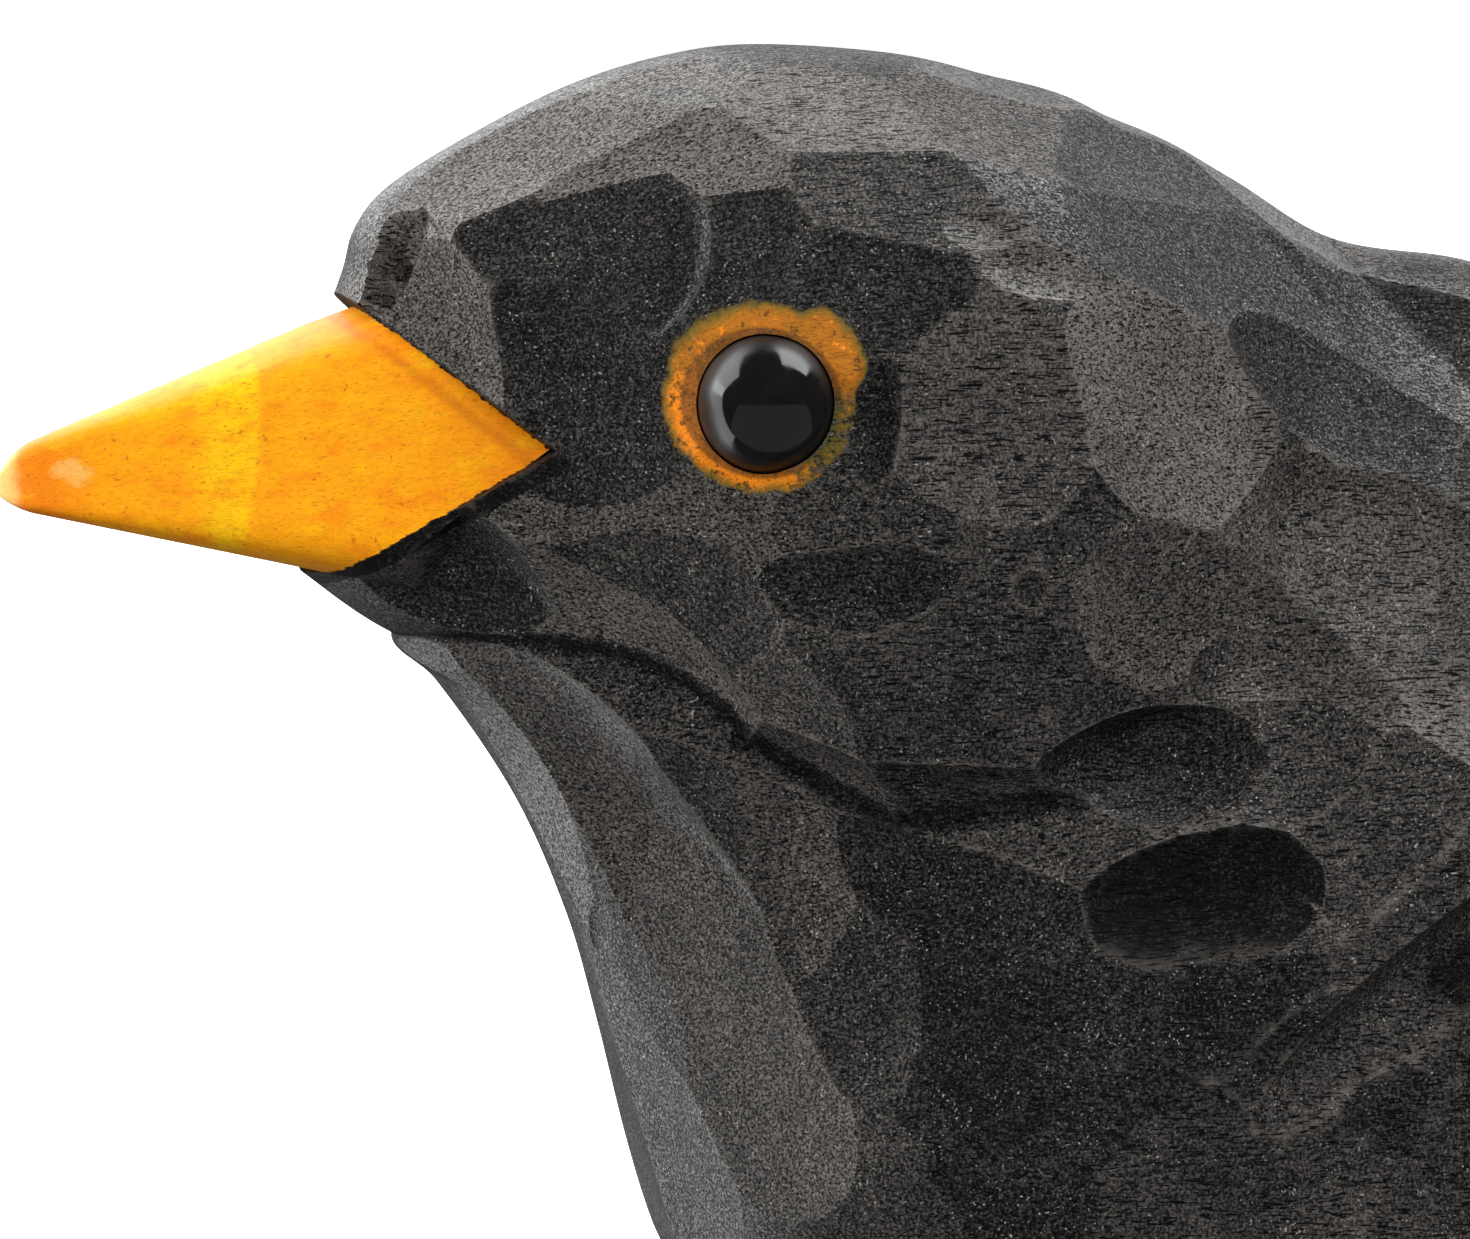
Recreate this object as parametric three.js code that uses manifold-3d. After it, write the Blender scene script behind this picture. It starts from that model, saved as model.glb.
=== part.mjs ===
import * as THREE from 'three';
import { mergeVertices } from 'three/addons/utils/BufferGeometryUtils.js';
import Module from 'manifold-3d';

// A hand-carved blackbird, cut as a bust: head, beak, neck, breast and shoulders from one block of
// light wood, with two black glass bead eyes. Millimetres. The underside is flat at z = 0 with the
// origin at its middle; the beak points to -X and the bird's left side to -Y.

// Driving dimensions
const BEAD_DIAMETER = 6.0;
const BEAD_SINK = 1.0;
const SOCKET_GAP = 0.3;
const EYE_PLACE = { x: -21.5, z: 40.6 };
const BEAK_TIP = { x: -52.3, z: 36.46 };
const BEAK_ROOT_X = -25.0;
const CARVE_CENTRE = new THREE.Vector3(-10, 0, 29);
const GRID = { rings: 60, columns: 62 };
const GRID_PROPORTION = { x: 32, y: 18, z: 26 };
const FAR = 60;

// Side outlines, [x, z], of the two forms that the block is roughed out to
const HEAD_OUTLINE = {
  centre: [-17, 36],
  roundness: 2.6,
  sideRoundness: 2.1,
  points: [
    [-38.4, 32.2], [-39.6, 33.2], [-41.0, 34.8], [-41.3, 37.0], [-40.0, 40.0], [-38.4, 42.4],
    [-37.6, 44.2], [-37.0, 45.8], [-36.5, 47.5], [-35.0, 49.3], [-31.2, 51.6], [-27.0, 53.6],
    [-23.0, 54.8], [-19.0, 55.3], [-13.0, 54.9], [-9.0, 54.0], [-4.0, 52.4],
    [2.0, 47.6], [7.0, 40.0], [7.5, 31.0], [3.0, 21.0], [-8.0, 13.8],
    [-19.0, 14.2], [-25.2, 21.0], [-30.8, 27.4], [-35.9, 30.4],
  ],
};
const BREAST_OUTLINE = {
  centre: [-1, 16],
  roundness: 2.8,
  sideRoundness: 2.2,
  points: [
    [-21.2, 0.0], [-23.0, 3.0], [-24.4, 7.0], [-25.6, 12.0], [-27.0, 17.0], [-29.0, 21.6],
    [-31.0, 25.0], [-33.0, 27.8], [-34.9, 29.9], [-32.0, 33.0], [-26.0, 38.0], [-14.0, 44.0],
    [-5.0, 48.5], [1.0, 48.0], [6.0, 46.4], [13.0, 45.6], [18.0, 43.4], [21.5, 38.5],
    [23.5, 30.0], [24.2, 20.0], [23.9, 10.0], [22.8, 0.0], [20.0, -8.0], [0.0, -14.0], [-19.0, -8.0],
  ],
};

// Half width of the head along its length, [x, half width]
const HEAD_HALF_WIDTHS = [
  [-40, 9.4], [-37, 10.0], [-33, 10.4], [-29, 11.0], [-25, 12.7], [-21, 14.4],
  [-16, 15.7], [-10, 16.4], [-4, 16.4], [2, 15.8], [10, 14.0],
];
const NECK_HALF_WIDTH = 12.6;
const BREAST_HALF_WIDTH = 18.0;

// Knife cuts on one side:
// [x, z, depth, half length, half width, stroke angle, lean up, lean to the fore]
// Each is a shallow scoop. Its stroke angle is seen from the left side, and the leans turn its
// floor to the sky and to the beak.
const FACE_CUTS = [
  [-27.8, 42.9, 0.6, 5, 5, 20, 0, 0],
  [-34.2, 43.8, 0.8, 7, 3.5, -42, 0, 0],
  [-27.3, 39.1, 0.5, 6, 5, 10, 0, 0],
  [-24.4, 35.6, 0.4, 8, 3, -12, 0, 0],
  [-20.5, 35.3, 0.35, 3, 2, 0, 0, 0],
  [-25.5, 33.2, 0.5, 5, 4, -15, 0, 0],
  [-17.2, 33.1, 0.6, 5, 2, 0, -6, 0],
  [-10.4, 32.5, 0.5, 1, 1, 0, 0, 0],
  [-29.3, 32, 0.4, 8, 2.5, -33, 0, 0],
  [-20.7, 27.3, 0.4, 8, 2.5, -28, 0, 0],
  [-32.0, 29.4, 0.2, 5, 3, -38, 0, 0],
  [-25.3, 25.2, 0.8, 7, 4, -38, -12, 0],
  [-22.4, 25.2, 0.9, 9, 4, -25, -16, 0],
  [-14.2, 23.6, 0.9, 9, 3.5, -5, -20, 0],
  [-13.3, 28.4, 0.5, 6, 5, 0, 0, 0],
];
const BREAST_CUTS = [
  [-33.5, 28.7, 0.35, 9, 4, -55, 0, 0],
  [-29.2, 23.3, 0.35, 9, 4, -60, 0, 0],
  [-23.5, 20.6, 0.4, 6, 4, -50, 0, 0],
  [-19.2, 19, 0.5, 6, 4, -55, 0, 0],
  [-25.2, 16, 0.35, 9, 4, -70, 0, 0],
  [-21.2, 11, 0.55, 10, 4, -50, 0, 0],
  [-23.6, 7.2, 0.5, 10, 4, -60, 0, 0],
  [-16.6, 14.7, 0.5, 6, 4, -60, 0, 0],
  [-13, 19.3, 0.6, 7, 4, -10, -4, 0],
  [-3.3, 20.3, 1.0, 6, 2.8, 5, -20, -8],
  [-8.5, 15.5, 0.6, 5, 4, -25, -6, 0],
  [-12.3, 12.9, 0.5, 6, 5, -20, 0, 0],
  [-7.2, 11, 0.6, 8, 4, -25, -3, 0],
  [-10, 7.1, 0.55, 9, 4, -25, 0, 0],
  [-2.8, 7.8, 0.55, 8, 4, -25, 0, 0],
  [-2.4, 15.1, 0.55, 5, 4, 30, 0, 0],
  [1.1, 11.8, 0.5, 4, 3, 20, 4, 0],
  [9.6, 17.9, 1.1, 8.5, 2, 38, -14, 0],
  [4.8, 22.5, 0.7, 10, 3, 45, 0, 0],
  [4.6, 11.5, 0.7, 4, 3, -60, -6, 0],
  [3.4, 7.7, 0.5, 5, 4, -40, 0, 0],
  [6.9, 8.8, 0.5, 5, 4, -40, 0, 0],
  [7.3, 13.1, 0.5, 3, 3, -40, 0, 0],
];
const WHOLE_CUTS = [
  [-29.1, 51.4, 0.45, 12, 6, 25, 0, 0],
  [-34.9, 47.1, 0.3, 6, 5, 60, 0, 0],
  [-24.1, 50.5, 0.5, 6, 4, 20, 0, 0],
  [-17.2, 52.8, 0.5, 8, 4, 0, 0, 0],
  [-9.5, 52.3, 0.5, 8, 5, -15, 0, 0],
  [-30.1, 46.4, 0.5, 6, 5, 15, 0, 0],
  [-23.1, 47.6, 0.55, 6, 5, 10, 0, 0],
  [-15.9, 49.5, 0.5, 8, 5, -5, 0, 0],
  [-16.4, 45.4, 0.5, 6, 4, -10, 0, 0],
  [-12.4, 48, 0.35, 2.6, 1.3, -10, 4, 0],
  [-9.6, 46, 0.35, 2.6, 1.3, -10, 4, 0],
  [-11.7, 40.9, 0.6, 5, 5, 0, 0, 0],
  [-5.3, 40.6, 0.6, 6, 5, -30, 0, -6],
  [-4.4, 32, 0.55, 6, 4, -10, 0, 0],
  [-2.8, 47.5, 0.55, 9, 5, -30, 0, 0],
  [-1.5, 49.5, 0.5, 10, 5, -30, 0, 0],
  [4.4, 43.5, 0.5, 8, 4, -30, 0, 0],
  [3.4, 34.2, 0.6, 7, 5, -60, 0, 0],
  [7.4, 30.9, 0.6, 6, 4, -60, 0, 0],
  [7.9, 26.1, 0.6, 3, 3, -60, 10, -10],
  [8.8, 40, 0.5, 8, 4, -20, 0, 0],
  [2.1, 25.2, 0.6, 5, 4, -50, 0, 0],
  [-4.5, 25.9, 1.0, 6, 2.4, 15, -20, 0],
  [-35.6, 46.6, 1.6, 3.0, 1.1, 58, -10, 0],
  [-16.7, 40.4, 0.7, 3.2, 1.3, 82, 0, 8],
];
const CROWN_FACETS = 7;
const CROWN_FRONT_ANGLE = 134;
const CROWN_STEP_ANGLE = 15.5;
const BACK_ROWS = [42, 22, 4, -14, -32];
const BACK_FACETS = 6;
const BACK_SPREAD_ANGLE = 124;
const BACK_START = { x: 14, z: 3 };

// Knife stops where the face ends against the beak: two straight cuts across it from the corner of
// the gape, given by their angles above the level towards the beak. The beak is let in behind them,
// and stands out over the jaw with its own lower wall turned outwards.
const GAPE = { x: -29.5, y: -8.0, z: 38.3 };
const BROW_ANGLE = 39;
const CHIN_ANGLE = -31;
const LET_IN = 0.5;
const JAW_WALL_TURN = 40;

// The beak's section: points round it, and how firm its facets' edges are
const BEAK_POINTS = 30;
const BEAK_FIRMNESS = 14;
const BEAK_TIP_ROUNDING = 1.6;
const CULMEN = { atTip: 1.4, opening: 0.405, fall: 0.1, roofSlope: 20 };
const KEEL = { atTip: 0.75, opening: 0.21 };
const BEAK_SIDE = { atTip: 1.0, opening: 0.39 };

const toRadians = THREE.MathUtils.degToRad;

function smoothStep(from, to, value) {
  const t = THREE.MathUtils.clamp((value - from) / (to - from), 0, 1);
  return t * t * (3 - 2 * t);
}

function interpolate(table, value) {
  if (value <= table[0][0]) return table[0][1];
  for (let i = 1; i < table.length; i++) {
    const [x1, y1] = table[i];
    if (value > x1) continue;
    const [x0, y0] = table[i - 1];
    return y0 + ((y1 - y0) * (value - x0)) / (x1 - x0);
  }
  return table[table.length - 1][1];
}

// A cushion-like form: a closed side outline, full in the middle and rounded off towards its edge
class Cushion {
  constructor(outline, halfWidth) {
    this.centre = outline.centre;
    this.roundness = outline.roundness;
    this.sideRoundness = outline.sideRoundness;
    this.halfWidth = halfWidth;
    const points = outline.points.map(([x, z]) => new THREE.Vector3(x, z, 0));
    const curve = new THREE.CatmullRomCurve3(points, true, 'catmullrom', 0.5);
    const samples = points.length * 10;
    this.polar = [];
    for (let i = 0; i < samples; i++) {
      const p = curve.getPoint(i / samples);
      const dx = p.x - this.centre[0];
      const dz = p.y - this.centre[1];
      this.polar.push([Math.atan2(dz, dx), Math.hypot(dx, dz)]);
    }
    this.polar.sort((a, b) => a[0] - b[0]);
    const first = this.polar[0];
    const last = this.polar[samples - 1];
    this.polar.unshift([last[0] - 2 * Math.PI, last[1]]);
    this.polar.push([first[0] + 2 * Math.PI, first[1]]);
  }

  outlineRadius(angle) {
    let low = 0;
    let high = this.polar.length - 1;
    while (high - low > 1) {
      const middle = (low + high) >> 1;
      if (this.polar[middle][0] <= angle) low = middle;
      else high = middle;
    }
    const [a0, r0] = this.polar[low];
    const [a1, r1] = this.polar[high];
    return r0 + ((r1 - r0) * (angle - a0)) / Math.max(a1 - a0, 1e-12);
  }

  contains(p) {
    const dx = p.x - this.centre[0];
    const dz = p.z - this.centre[1];
    const reach = Math.hypot(dx, dz) / this.outlineRadius(Math.atan2(dz, dx));
    const spread = Math.abs(p.y) / this.halfWidth(p.x, p.z);
    return reach ** this.roundness + spread ** this.sideRoundness < 1;
  }

  radius(direction) {
    const p = new THREE.Vector3();
    let low = 0;
    let high = FAR;
    for (let i = 0; i < 26; i++) {
      const middle = (low + high) / 2;
      p.copy(CARVE_CENTRE).addScaledVector(direction, middle);
      if (this.contains(p)) low = middle;
      else high = middle;
    }
    return (low + high) / 2;
  }
}

const head = new Cushion(HEAD_OUTLINE, (x) => interpolate(HEAD_HALF_WIDTHS, x));
const breast = new Cushion(BREAST_OUTLINE, (x, z) => {
  const swell = smoothStep(9, -14, z - 18 - 0.62 * (x + 14));
  return NECK_HALF_WIDTH + (BREAST_HALF_WIDTH - NECK_HALF_WIDTH) * swell;
});

// The two forms run into each other softly at the nape and meet in a sharp crease under the cheek
function softMaximum(a, b, direction) {
  const reach = 0.15 + 6 * smoothStep(0.3, 0.75, direction.x + 0.35 * direction.z);
  const overlap = Math.max(reach - Math.abs(a - b), 0) / reach;
  return Math.max(a, b) + (overlap * overlap * reach) / 4;
}

function roughRadius(direction) {
  return softMaximum(head.radius(direction), breast.radius(direction), direction);
}

function outsideRough(p) {
  const ray = p.clone().sub(CARVE_CENTRE);
  const length = ray.length();
  return length - roughRadius(ray.divideScalar(length));
}

// The point on the rough form's left side at a given x and z
function sidePoint(x, z) {
  let inner = 0;
  let outer = 30;
  for (let i = 0; i < 22; i++) {
    const middle = (inner + outer) / 2;
    if (outsideRough(new THREE.Vector3(x, -middle, z)) < 0) inner = middle;
    else outer = middle;
  }
  return new THREE.Vector3(x, -inner, z);
}

function roughNormal(p, step) {
  const normal = new THREE.Vector3();
  for (const axis of ['x', 'y', 'z']) {
    const ahead = p.clone();
    const behind = p.clone();
    ahead[axis] += step;
    behind[axis] -= step;
    normal[axis] = outsideRough(ahead) - outsideRough(behind);
  }
  return normal.normalize();
}

// Curvature of the rough form at p along a tangent, found from its height half a cut away
function roughCurvature(p, normal, tangent, span) {
  let total = 0;
  for (const side of [-1, 1]) {
    const foot = p.clone().addScaledVector(tangent, side * span);
    let low = -8;
    let high = 8;
    for (let i = 0; i < 16; i++) {
      const middle = (low + high) / 2;
      if (outsideRough(foot.clone().addScaledVector(normal, middle)) < 0) low = middle;
      else high = middle;
    }
    total += (low + high) / 2;
  }
  return -total / (span * span);
}

// One scoop of the knife: a shallow bowl whose floor lies depth below the rough surface
class KnifeCut {
  constructor(place, normal, stroke, depth, halfLength, halfWidth, bend, bendAcross) {
    this.place = place;
    this.normal = normal;
    this.stroke = stroke;
    this.across = new THREE.Vector3().crossVectors(normal, stroke);
    this.depth = depth;
    this.halfLength = halfLength;
    this.halfWidth = halfWidth;
    this.bend = bend;
    this.bendAcross = bendAcross;
  }

  static at(place, stroke, [depth, halfLength, halfWidth], [leanUp, leanFore]) {
    const rough = roughNormal(place, 1.2);
    stroke.addScaledVector(rough, -rough.dot(stroke)).normalize();
    const across = new THREE.Vector3().crossVectors(rough, stroke);
    const span = Math.max(0.7 * halfLength, 1);
    const spanAcross = Math.max(0.7 * halfWidth, 1);
    const flattest = 1 / 400;
    const along = roughCurvature(place, rough, stroke, span);
    const sideways = roughCurvature(place, rough, across, spanAcross);
    const bend = Math.max((2 * depth) / halfLength ** 2 - along, flattest);
    const bendAcross = Math.max((2 * depth) / halfWidth ** 2 - sideways, flattest);
    const uphill = new THREE.Vector3(0, 0, 1).addScaledVector(rough, -rough.z).normalize();
    const forward = new THREE.Vector3().crossVectors(uphill, rough);
    if (forward.x > 0) forward.negate();
    const normal = rough.clone().addScaledVector(uphill, Math.tan(toRadians(leanUp)));
    normal.addScaledVector(forward, Math.tan(toRadians(leanFore))).normalize();
    stroke.addScaledVector(normal, -normal.dot(stroke)).normalize();
    return new KnifeCut(place, normal, stroke, depth, halfLength, halfWidth, bend, bendAcross);
  }

  static onSide([x, z, depth, halfLength, halfWidth, angle, leanUp, leanFore]) {
    const stroke = new THREE.Vector3(Math.cos(toRadians(angle)), 0, Math.sin(toRadians(angle)));
    return KnifeCut.at(sidePoint(x, z), stroke, [depth, halfLength, halfWidth], [leanUp, leanFore]);
  }

  mirrored() {
    const flip = new THREE.Vector3(1, -1, 1);
    return new KnifeCut(
      this.place.clone().multiply(flip), this.normal.clone().multiply(flip),
      this.stroke.clone().multiply(flip), this.depth, this.halfLength, this.halfWidth,
      this.bend, this.bendAcross,
    );
  }

  // Distance at which a ray from the centre meets the bowl; beyond the scoop's ends it climbs away
  radius(direction, onRough) {
    const offset = CARVE_CENTRE.clone().sub(this.place);
    const a0 = offset.dot(this.stroke);
    const b0 = offset.dot(this.across);
    const a1 = direction.dot(this.stroke);
    const b1 = direction.dot(this.across);
    const square = -(a1 * a1 * this.bend + b1 * b1 * this.bendAcross) / 2;
    const linear = direction.dot(this.normal) - a0 * a1 * this.bend - b0 * b1 * this.bendAcross;
    const height = offset.dot(this.normal) + this.depth;
    const constant = height - (a0 * a0 * this.bend + b0 * b0 * this.bendAcross) / 2;
    const root = linear * linear - 4 * constant * square;
    if (root <= 0 || constant >= 0) return Infinity;
    const divisor = linear + Math.sqrt(root);
    if (divisor < 1e-9) return Infinity;
    const away = onRough.clone().sub(this.place);
    const overshoot = Math.hypot(
      away.dot(this.stroke) / this.halfLength, away.dot(this.across) / this.halfWidth,
    ) - 1.1;
    const past = Math.max(overshoot, 0) * this.halfWidth;
    return (-2 * constant) / divisor + (1.3 * past * past) / (past + 0.6);
  }
}

// The same cuts on the right side, each a little moved and turned, as a hand makes them
function bothSides(rows) {
  const left = rows.map((row) => KnifeCut.onSide(row));
  const right = rows.map(([x, z, depth, halfLength, halfWidth, angle, leanUp, leanFore], i) => {
    const moved = [x + 0.7 * Math.sin(5 * i), z + 0.6 * Math.sin(7 * i + 1)];
    const turned = angle + 12 * Math.sin(11 * i + 2);
    return KnifeCut.onSide([...moved, depth, halfLength, halfWidth, turned, leanUp, leanFore]).mirrored();
  });
  return [...left, ...right];
}

function roughPoint(direction) {
  return CARVE_CENTRE.clone().addScaledVector(direction, roughRadius(direction));
}

// Facets over the crown and nape, to one side of the middle and then the other
function crownCuts() {
  return Array.from({ length: CROWN_FACETS }, (_, i) => {
    const rise = toRadians(CROWN_FRONT_ANGLE - CROWN_STEP_ANGLE * i);
    const side = i % 2 === 0 ? 0.16 : -0.16;
    const place = roughPoint(new THREE.Vector3(Math.cos(rise), side, Math.sin(rise)).normalize());
    const stroke = new THREE.Vector3(1, 0.25 * Math.sin(2 * i), 0);
    return KnifeCut.at(place, stroke, [0.25 + 0.05 * Math.sin(i), 4.5, 3.4], [0, 0]);
  });
}

// Rows of facets down the back, each row half a step round from the last
function backCuts() {
  const places = BACK_ROWS.flatMap((height, row) => Array.from({ length: BACK_FACETS }, (_, k) => {
    const share = (k + 0.5 * (row % 2)) / (BACK_FACETS - 0.5);
    const turn = toRadians(BACK_SPREAD_ANGLE * (share - 0.5));
    const rise = toRadians(height + 4 * Math.sin(3 * k + row));
    const level = Math.cos(rise);
    return roughPoint(new THREE.Vector3(level * Math.cos(turn), level * Math.sin(turn), Math.sin(rise)));
  }));
  return places.filter((p) => p.z > BACK_START.z && p.x > BACK_START.x).map((place, i) => {
    const stroke = new THREE.Vector3(0.3, 0.35 * Math.sin(2.3 * i), -1);
    return KnifeCut.at(place, stroke, [0.5 + 0.1 * Math.sin(i), 7 + Math.sin(1.7 * i), 4.5], [0, 0]);
  });
}

const faceCuts = bothSides(FACE_CUTS);
const breastCuts = bothSides(BREAST_CUTS);
const wholeCuts = [...bothSides(WHOLE_CUTS), ...crownCuts(), ...backCuts()];

// Normal of a stop, to the front of the bird, turned out to one side by an angle
function stopNormal(rise, turn = 0, side = 1) {
  const normal = new THREE.Vector3(-Math.sin(toRadians(Math.abs(rise))), 0, Math.cos(toRadians(rise)));
  if (rise > 0) normal.z *= -1;
  normal.multiplyScalar(Math.cos(toRadians(turn)));
  normal.y = -side * Math.sin(toRadians(turn));
  return normal;
}

const gape = new THREE.Vector3(GAPE.x, GAPE.y, GAPE.z);
const stops = [BROW_ANGLE, CHIN_ANGLE].map((rise) => {
  const normal = stopNormal(rise);
  return { normal, gap: gape.clone().sub(CARVE_CENTRE).dot(normal) };
});

function stopReach(stop, direction) {
  const speed = stop.normal.dot(direction);
  return speed > 1e-6 ? stop.gap / speed : Infinity;
}

function deepest(cuts, radius, owner, direction, onRough) {
  for (const cut of cuts) {
    const reach = cut.radius(direction, onRough);
    if (reach < radius) {
      radius = reach;
      owner = cut;
    }
  }
  return [radius, owner];
}

// Carved surface along a ray: its distance, and which cut or form it belongs to
function carve(direction) {
  const headRough = head.radius(direction);
  const breastRough = breast.radius(direction);
  const rough = softMaximum(headRough, breastRough, direction);
  const onRough = CARVE_CENTRE.clone().addScaledVector(direction, rough);
  let [headRadius, headOwner] = deepest(faceCuts, headRough, head, direction, onRough);
  const [breastRadius, breastOwner] = deepest(breastCuts, breastRough, breast, direction, onRough);
  const [brow, chin] = stops.map((stop) => stopReach(stop, direction));
  if (Math.max(brow, chin) < headRadius) {
    headRadius = Math.max(brow, chin);
    headOwner = brow >= chin ? 'brow' : 'chin';
  }
  const joined = softMaximum(headRadius, breastRadius, direction);
  const owner = headRadius >= breastRadius ? headOwner : breastOwner;
  const [radius, lastOwner] = deepest(wholeCuts, joined, owner, direction, onRough);
  const toBase = direction.z < 0 ? -CARVE_CENTRE.z / direction.z : Infinity;
  return toBase < radius ? { radius: toBase, owner: 'base' } : { radius, owner: lastOwner };
}

// Directions run in rings from the beak end (0) to the back (1), and in columns right round
function gridDirection(ring, column) {
  const polar = Math.PI * ring;
  const round = 2 * Math.PI * column;
  return new THREE.Vector3(
    -GRID_PROPORTION.x * Math.cos(polar),
    -GRID_PROPORTION.y * Math.sin(polar) * Math.cos(round),
    GRID_PROPORTION.z * Math.sin(polar) * Math.sin(round),
  ).normalize();
}

function gridVertex(ring, column) {
  const direction = gridDirection(ring, column);
  return { ring, column, ...carve(direction), shift: Infinity };
}

// Where two neighbours belong to different cuts, the nearer one moves onto the ridge between them
function findRidge(a, b) {
  let low = 0;
  let high = 1;
  for (let i = 0; i < 9; i++) {
    const middle = (low + high) / 2;
    const ring = a.ring + (b.ring - a.ring) * middle;
    const column = a.column + (b.column - a.column) * middle;
    if (carve(gridDirection(ring, column)).owner === a.owner) low = middle;
    else high = middle;
  }
  return (low + high) / 2;
}

function snapToRidges(grid) {
  const { rings, columns } = GRID;
  const moves = new Map();
  const propose = (vertex, other, share) => {
    if (share >= vertex.shift) return;
    vertex.shift = share;
    moves.set(vertex, {
      ring: vertex.ring + (other.ring - vertex.ring) * share,
      column: vertex.column + (other.column - vertex.column) * share,
    });
  };
  const compare = (a, b) => {
    if (a.owner === b.owner) return;
    const share = findRidge(a, b);
    if (share < 0.5) propose(a, b, share);
    else propose(b, a, 1 - share);
  };
  for (let i = 0; i < rings; i++) {
    for (let j = 0; j < columns; j++) {
      if (j + 1 < columns) compare(grid[i][j], grid[i][j + 1]);
      if (i + 1 < rings) compare(grid[i][j], grid[i + 1][j]);
    }
  }
  for (const [vertex, place] of moves) {
    Object.assign(vertex, place, carve(gridDirection(place.ring, place.column)));
  }
}

function pointOf(vertex) {
  const direction = gridDirection(vertex.ring, vertex.column);
  return CARVE_CENTRE.clone().addScaledVector(direction, vertex.radius);
}

// A quad is split along the diagonal that lies nearer the carved surface at its middle
function splitQuad(corners) {
  const ring = corners.reduce((sum, c) => sum + c.ring, 0) / 4;
  const column = corners.reduce((sum, c) => sum + c.column, 0) / 4;
  const middle = pointOf({ ring, column, radius: carve(gridDirection(ring, column)).radius });
  const gap = (a, b) => pointOf(a).add(pointOf(b)).multiplyScalar(0.5).distanceTo(middle);
  const [a, b, c, d] = corners;
  if (gap(a, c) <= gap(b, d)) return [[a, b, c], [a, c, d]];
  return [[a, b, d], [b, c, d]];
}

function carvedBlock() {
  const { rings, columns } = GRID;
  const grid = [];
  for (let i = 0; i < rings; i++) {
    grid.push([]);
    for (let j = 0; j < columns; j++) grid[i].push(gridVertex((i + 0.5) / rings, j / columns));
  }
  snapToRidges(grid);
  const front = gridVertex(0, 0);
  const back = gridVertex(1, 0);
  const triangles = [];
  for (let j = 0; j < columns; j++) {
    const next = (j + 1) % columns;
    const nextIn = (i) => {
      const vertex = grid[i][next];
      return next > 0 ? vertex : { ...vertex, column: vertex.column + 1, twin: vertex };
    };
    triangles.push([front, grid[0][j], nextIn(0)]);
    for (let i = 0; i + 1 < rings; i++) {
      triangles.push(...splitQuad([grid[i][j], grid[i + 1][j], nextIn(i + 1), nextIn(i)]));
    }
    triangles.push([grid[rings - 1][j], back, nextIn(rings - 1)]);
  }
  return trianglesToGeometry(triangles.map((t) => t.map((v) => pointOf(v.twin ?? v))));
}

// A closed mesh from triangles listed in one sense; its faces are turned to point outwards
function trianglesToGeometry(triangles) {
  const volume = triangles.reduce((sum, [a, b, c]) => sum + a.dot(new THREE.Vector3().crossVectors(b, c)), 0);
  const outward = volume > 0 ? triangles : triangles.map(([a, b, c]) => [a, c, b]);
  const positions = outward.flatMap((t) => t.flatMap((p) => [p.x, p.y, p.z]));
  const geometry = new THREE.BufferGeometry();
  geometry.setAttribute('position', new THREE.Float32BufferAttribute(positions, 3));
  return mergeVertices(geometry, 1e-4);
}

// A closed skin over a list of loops with equal numbers of points, with a fan at each end
function skin(loops) {
  const triangles = [];
  const middle = (loop) => loop.reduce((sum, p) => sum.add(p), new THREE.Vector3()).divideScalar(loop.length);
  for (let i = 0; i + 1 < loops.length; i++) {
    for (let j = 0; j < loops[i].length; j++) {
      const k = (j + 1) % loops[i].length;
      triangles.push([loops[i][j], loops[i + 1][j], loops[i + 1][k]]);
      triangles.push([loops[i][j], loops[i + 1][k], loops[i][k]]);
    }
  }
  const first = loops[0];
  const last = loops[loops.length - 1];
  for (let j = 0; j < first.length; j++) {
    const k = (j + 1) % first.length;
    triangles.push([middle(first), first[j], first[k]]);
    triangles.push([middle(last), last[k], last[j]]);
  }
  return trianglesToGeometry(triangles);
}

// Beak: straight culmen and keel that open from the worn round tip, with flat facets all round.
// A section's radius is one over the p-norm of cos(angle - facet) / facet distance.
function beakSection(share) {
  const x = THREE.MathUtils.lerp(BEAK_TIP.x, BEAK_ROOT_X, share);
  const run = x - BEAK_TIP.x;
  const bluntness = Math.sqrt(1 - (1 - Math.min(run / BEAK_TIP_ROUNDING, 1)) ** 2);
  const fall = CULMEN.fall * run * Math.max(share - 0.5, 0);
  const above = (CULMEN.atTip + CULMEN.opening * run - fall) * bluntness;
  const below = (KEEL.atTip + KEEL.opening * run) * bluntness;
  const halfWidth = (BEAK_SIDE.atTip + BEAK_SIDE.opening * run) * bluntness;
  const side = 0.96 * halfWidth - 0.2 * below;
  const roof = 1.05 * above * Math.cos(toRadians(CULMEN.roofSlope));
  const keel = 0.44 * halfWidth + 0.73 * below;
  const facets = [[16, side], [70, roof], [110, roof], [164, side], [240, keel], [270, below], [300, keel]];
  const loop = [];
  for (let i = 0; i < BEAK_POINTS; i++) {
    const angle = (2 * Math.PI * i) / BEAK_POINTS;
    const total = facets.reduce((sum, [turn, distance]) => {
      const nearness = Math.max(Math.cos(angle - toRadians(turn)), 0) / distance;
      return sum + nearness ** BEAK_FIRMNESS;
    }, 0);
    const radius = total ** (-1 / BEAK_FIRMNESS);
    loop.push(new THREE.Vector3(x, radius * Math.cos(angle), BEAK_TIP.z + radius * Math.sin(angle)));
  }
  return loop;
}

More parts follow.
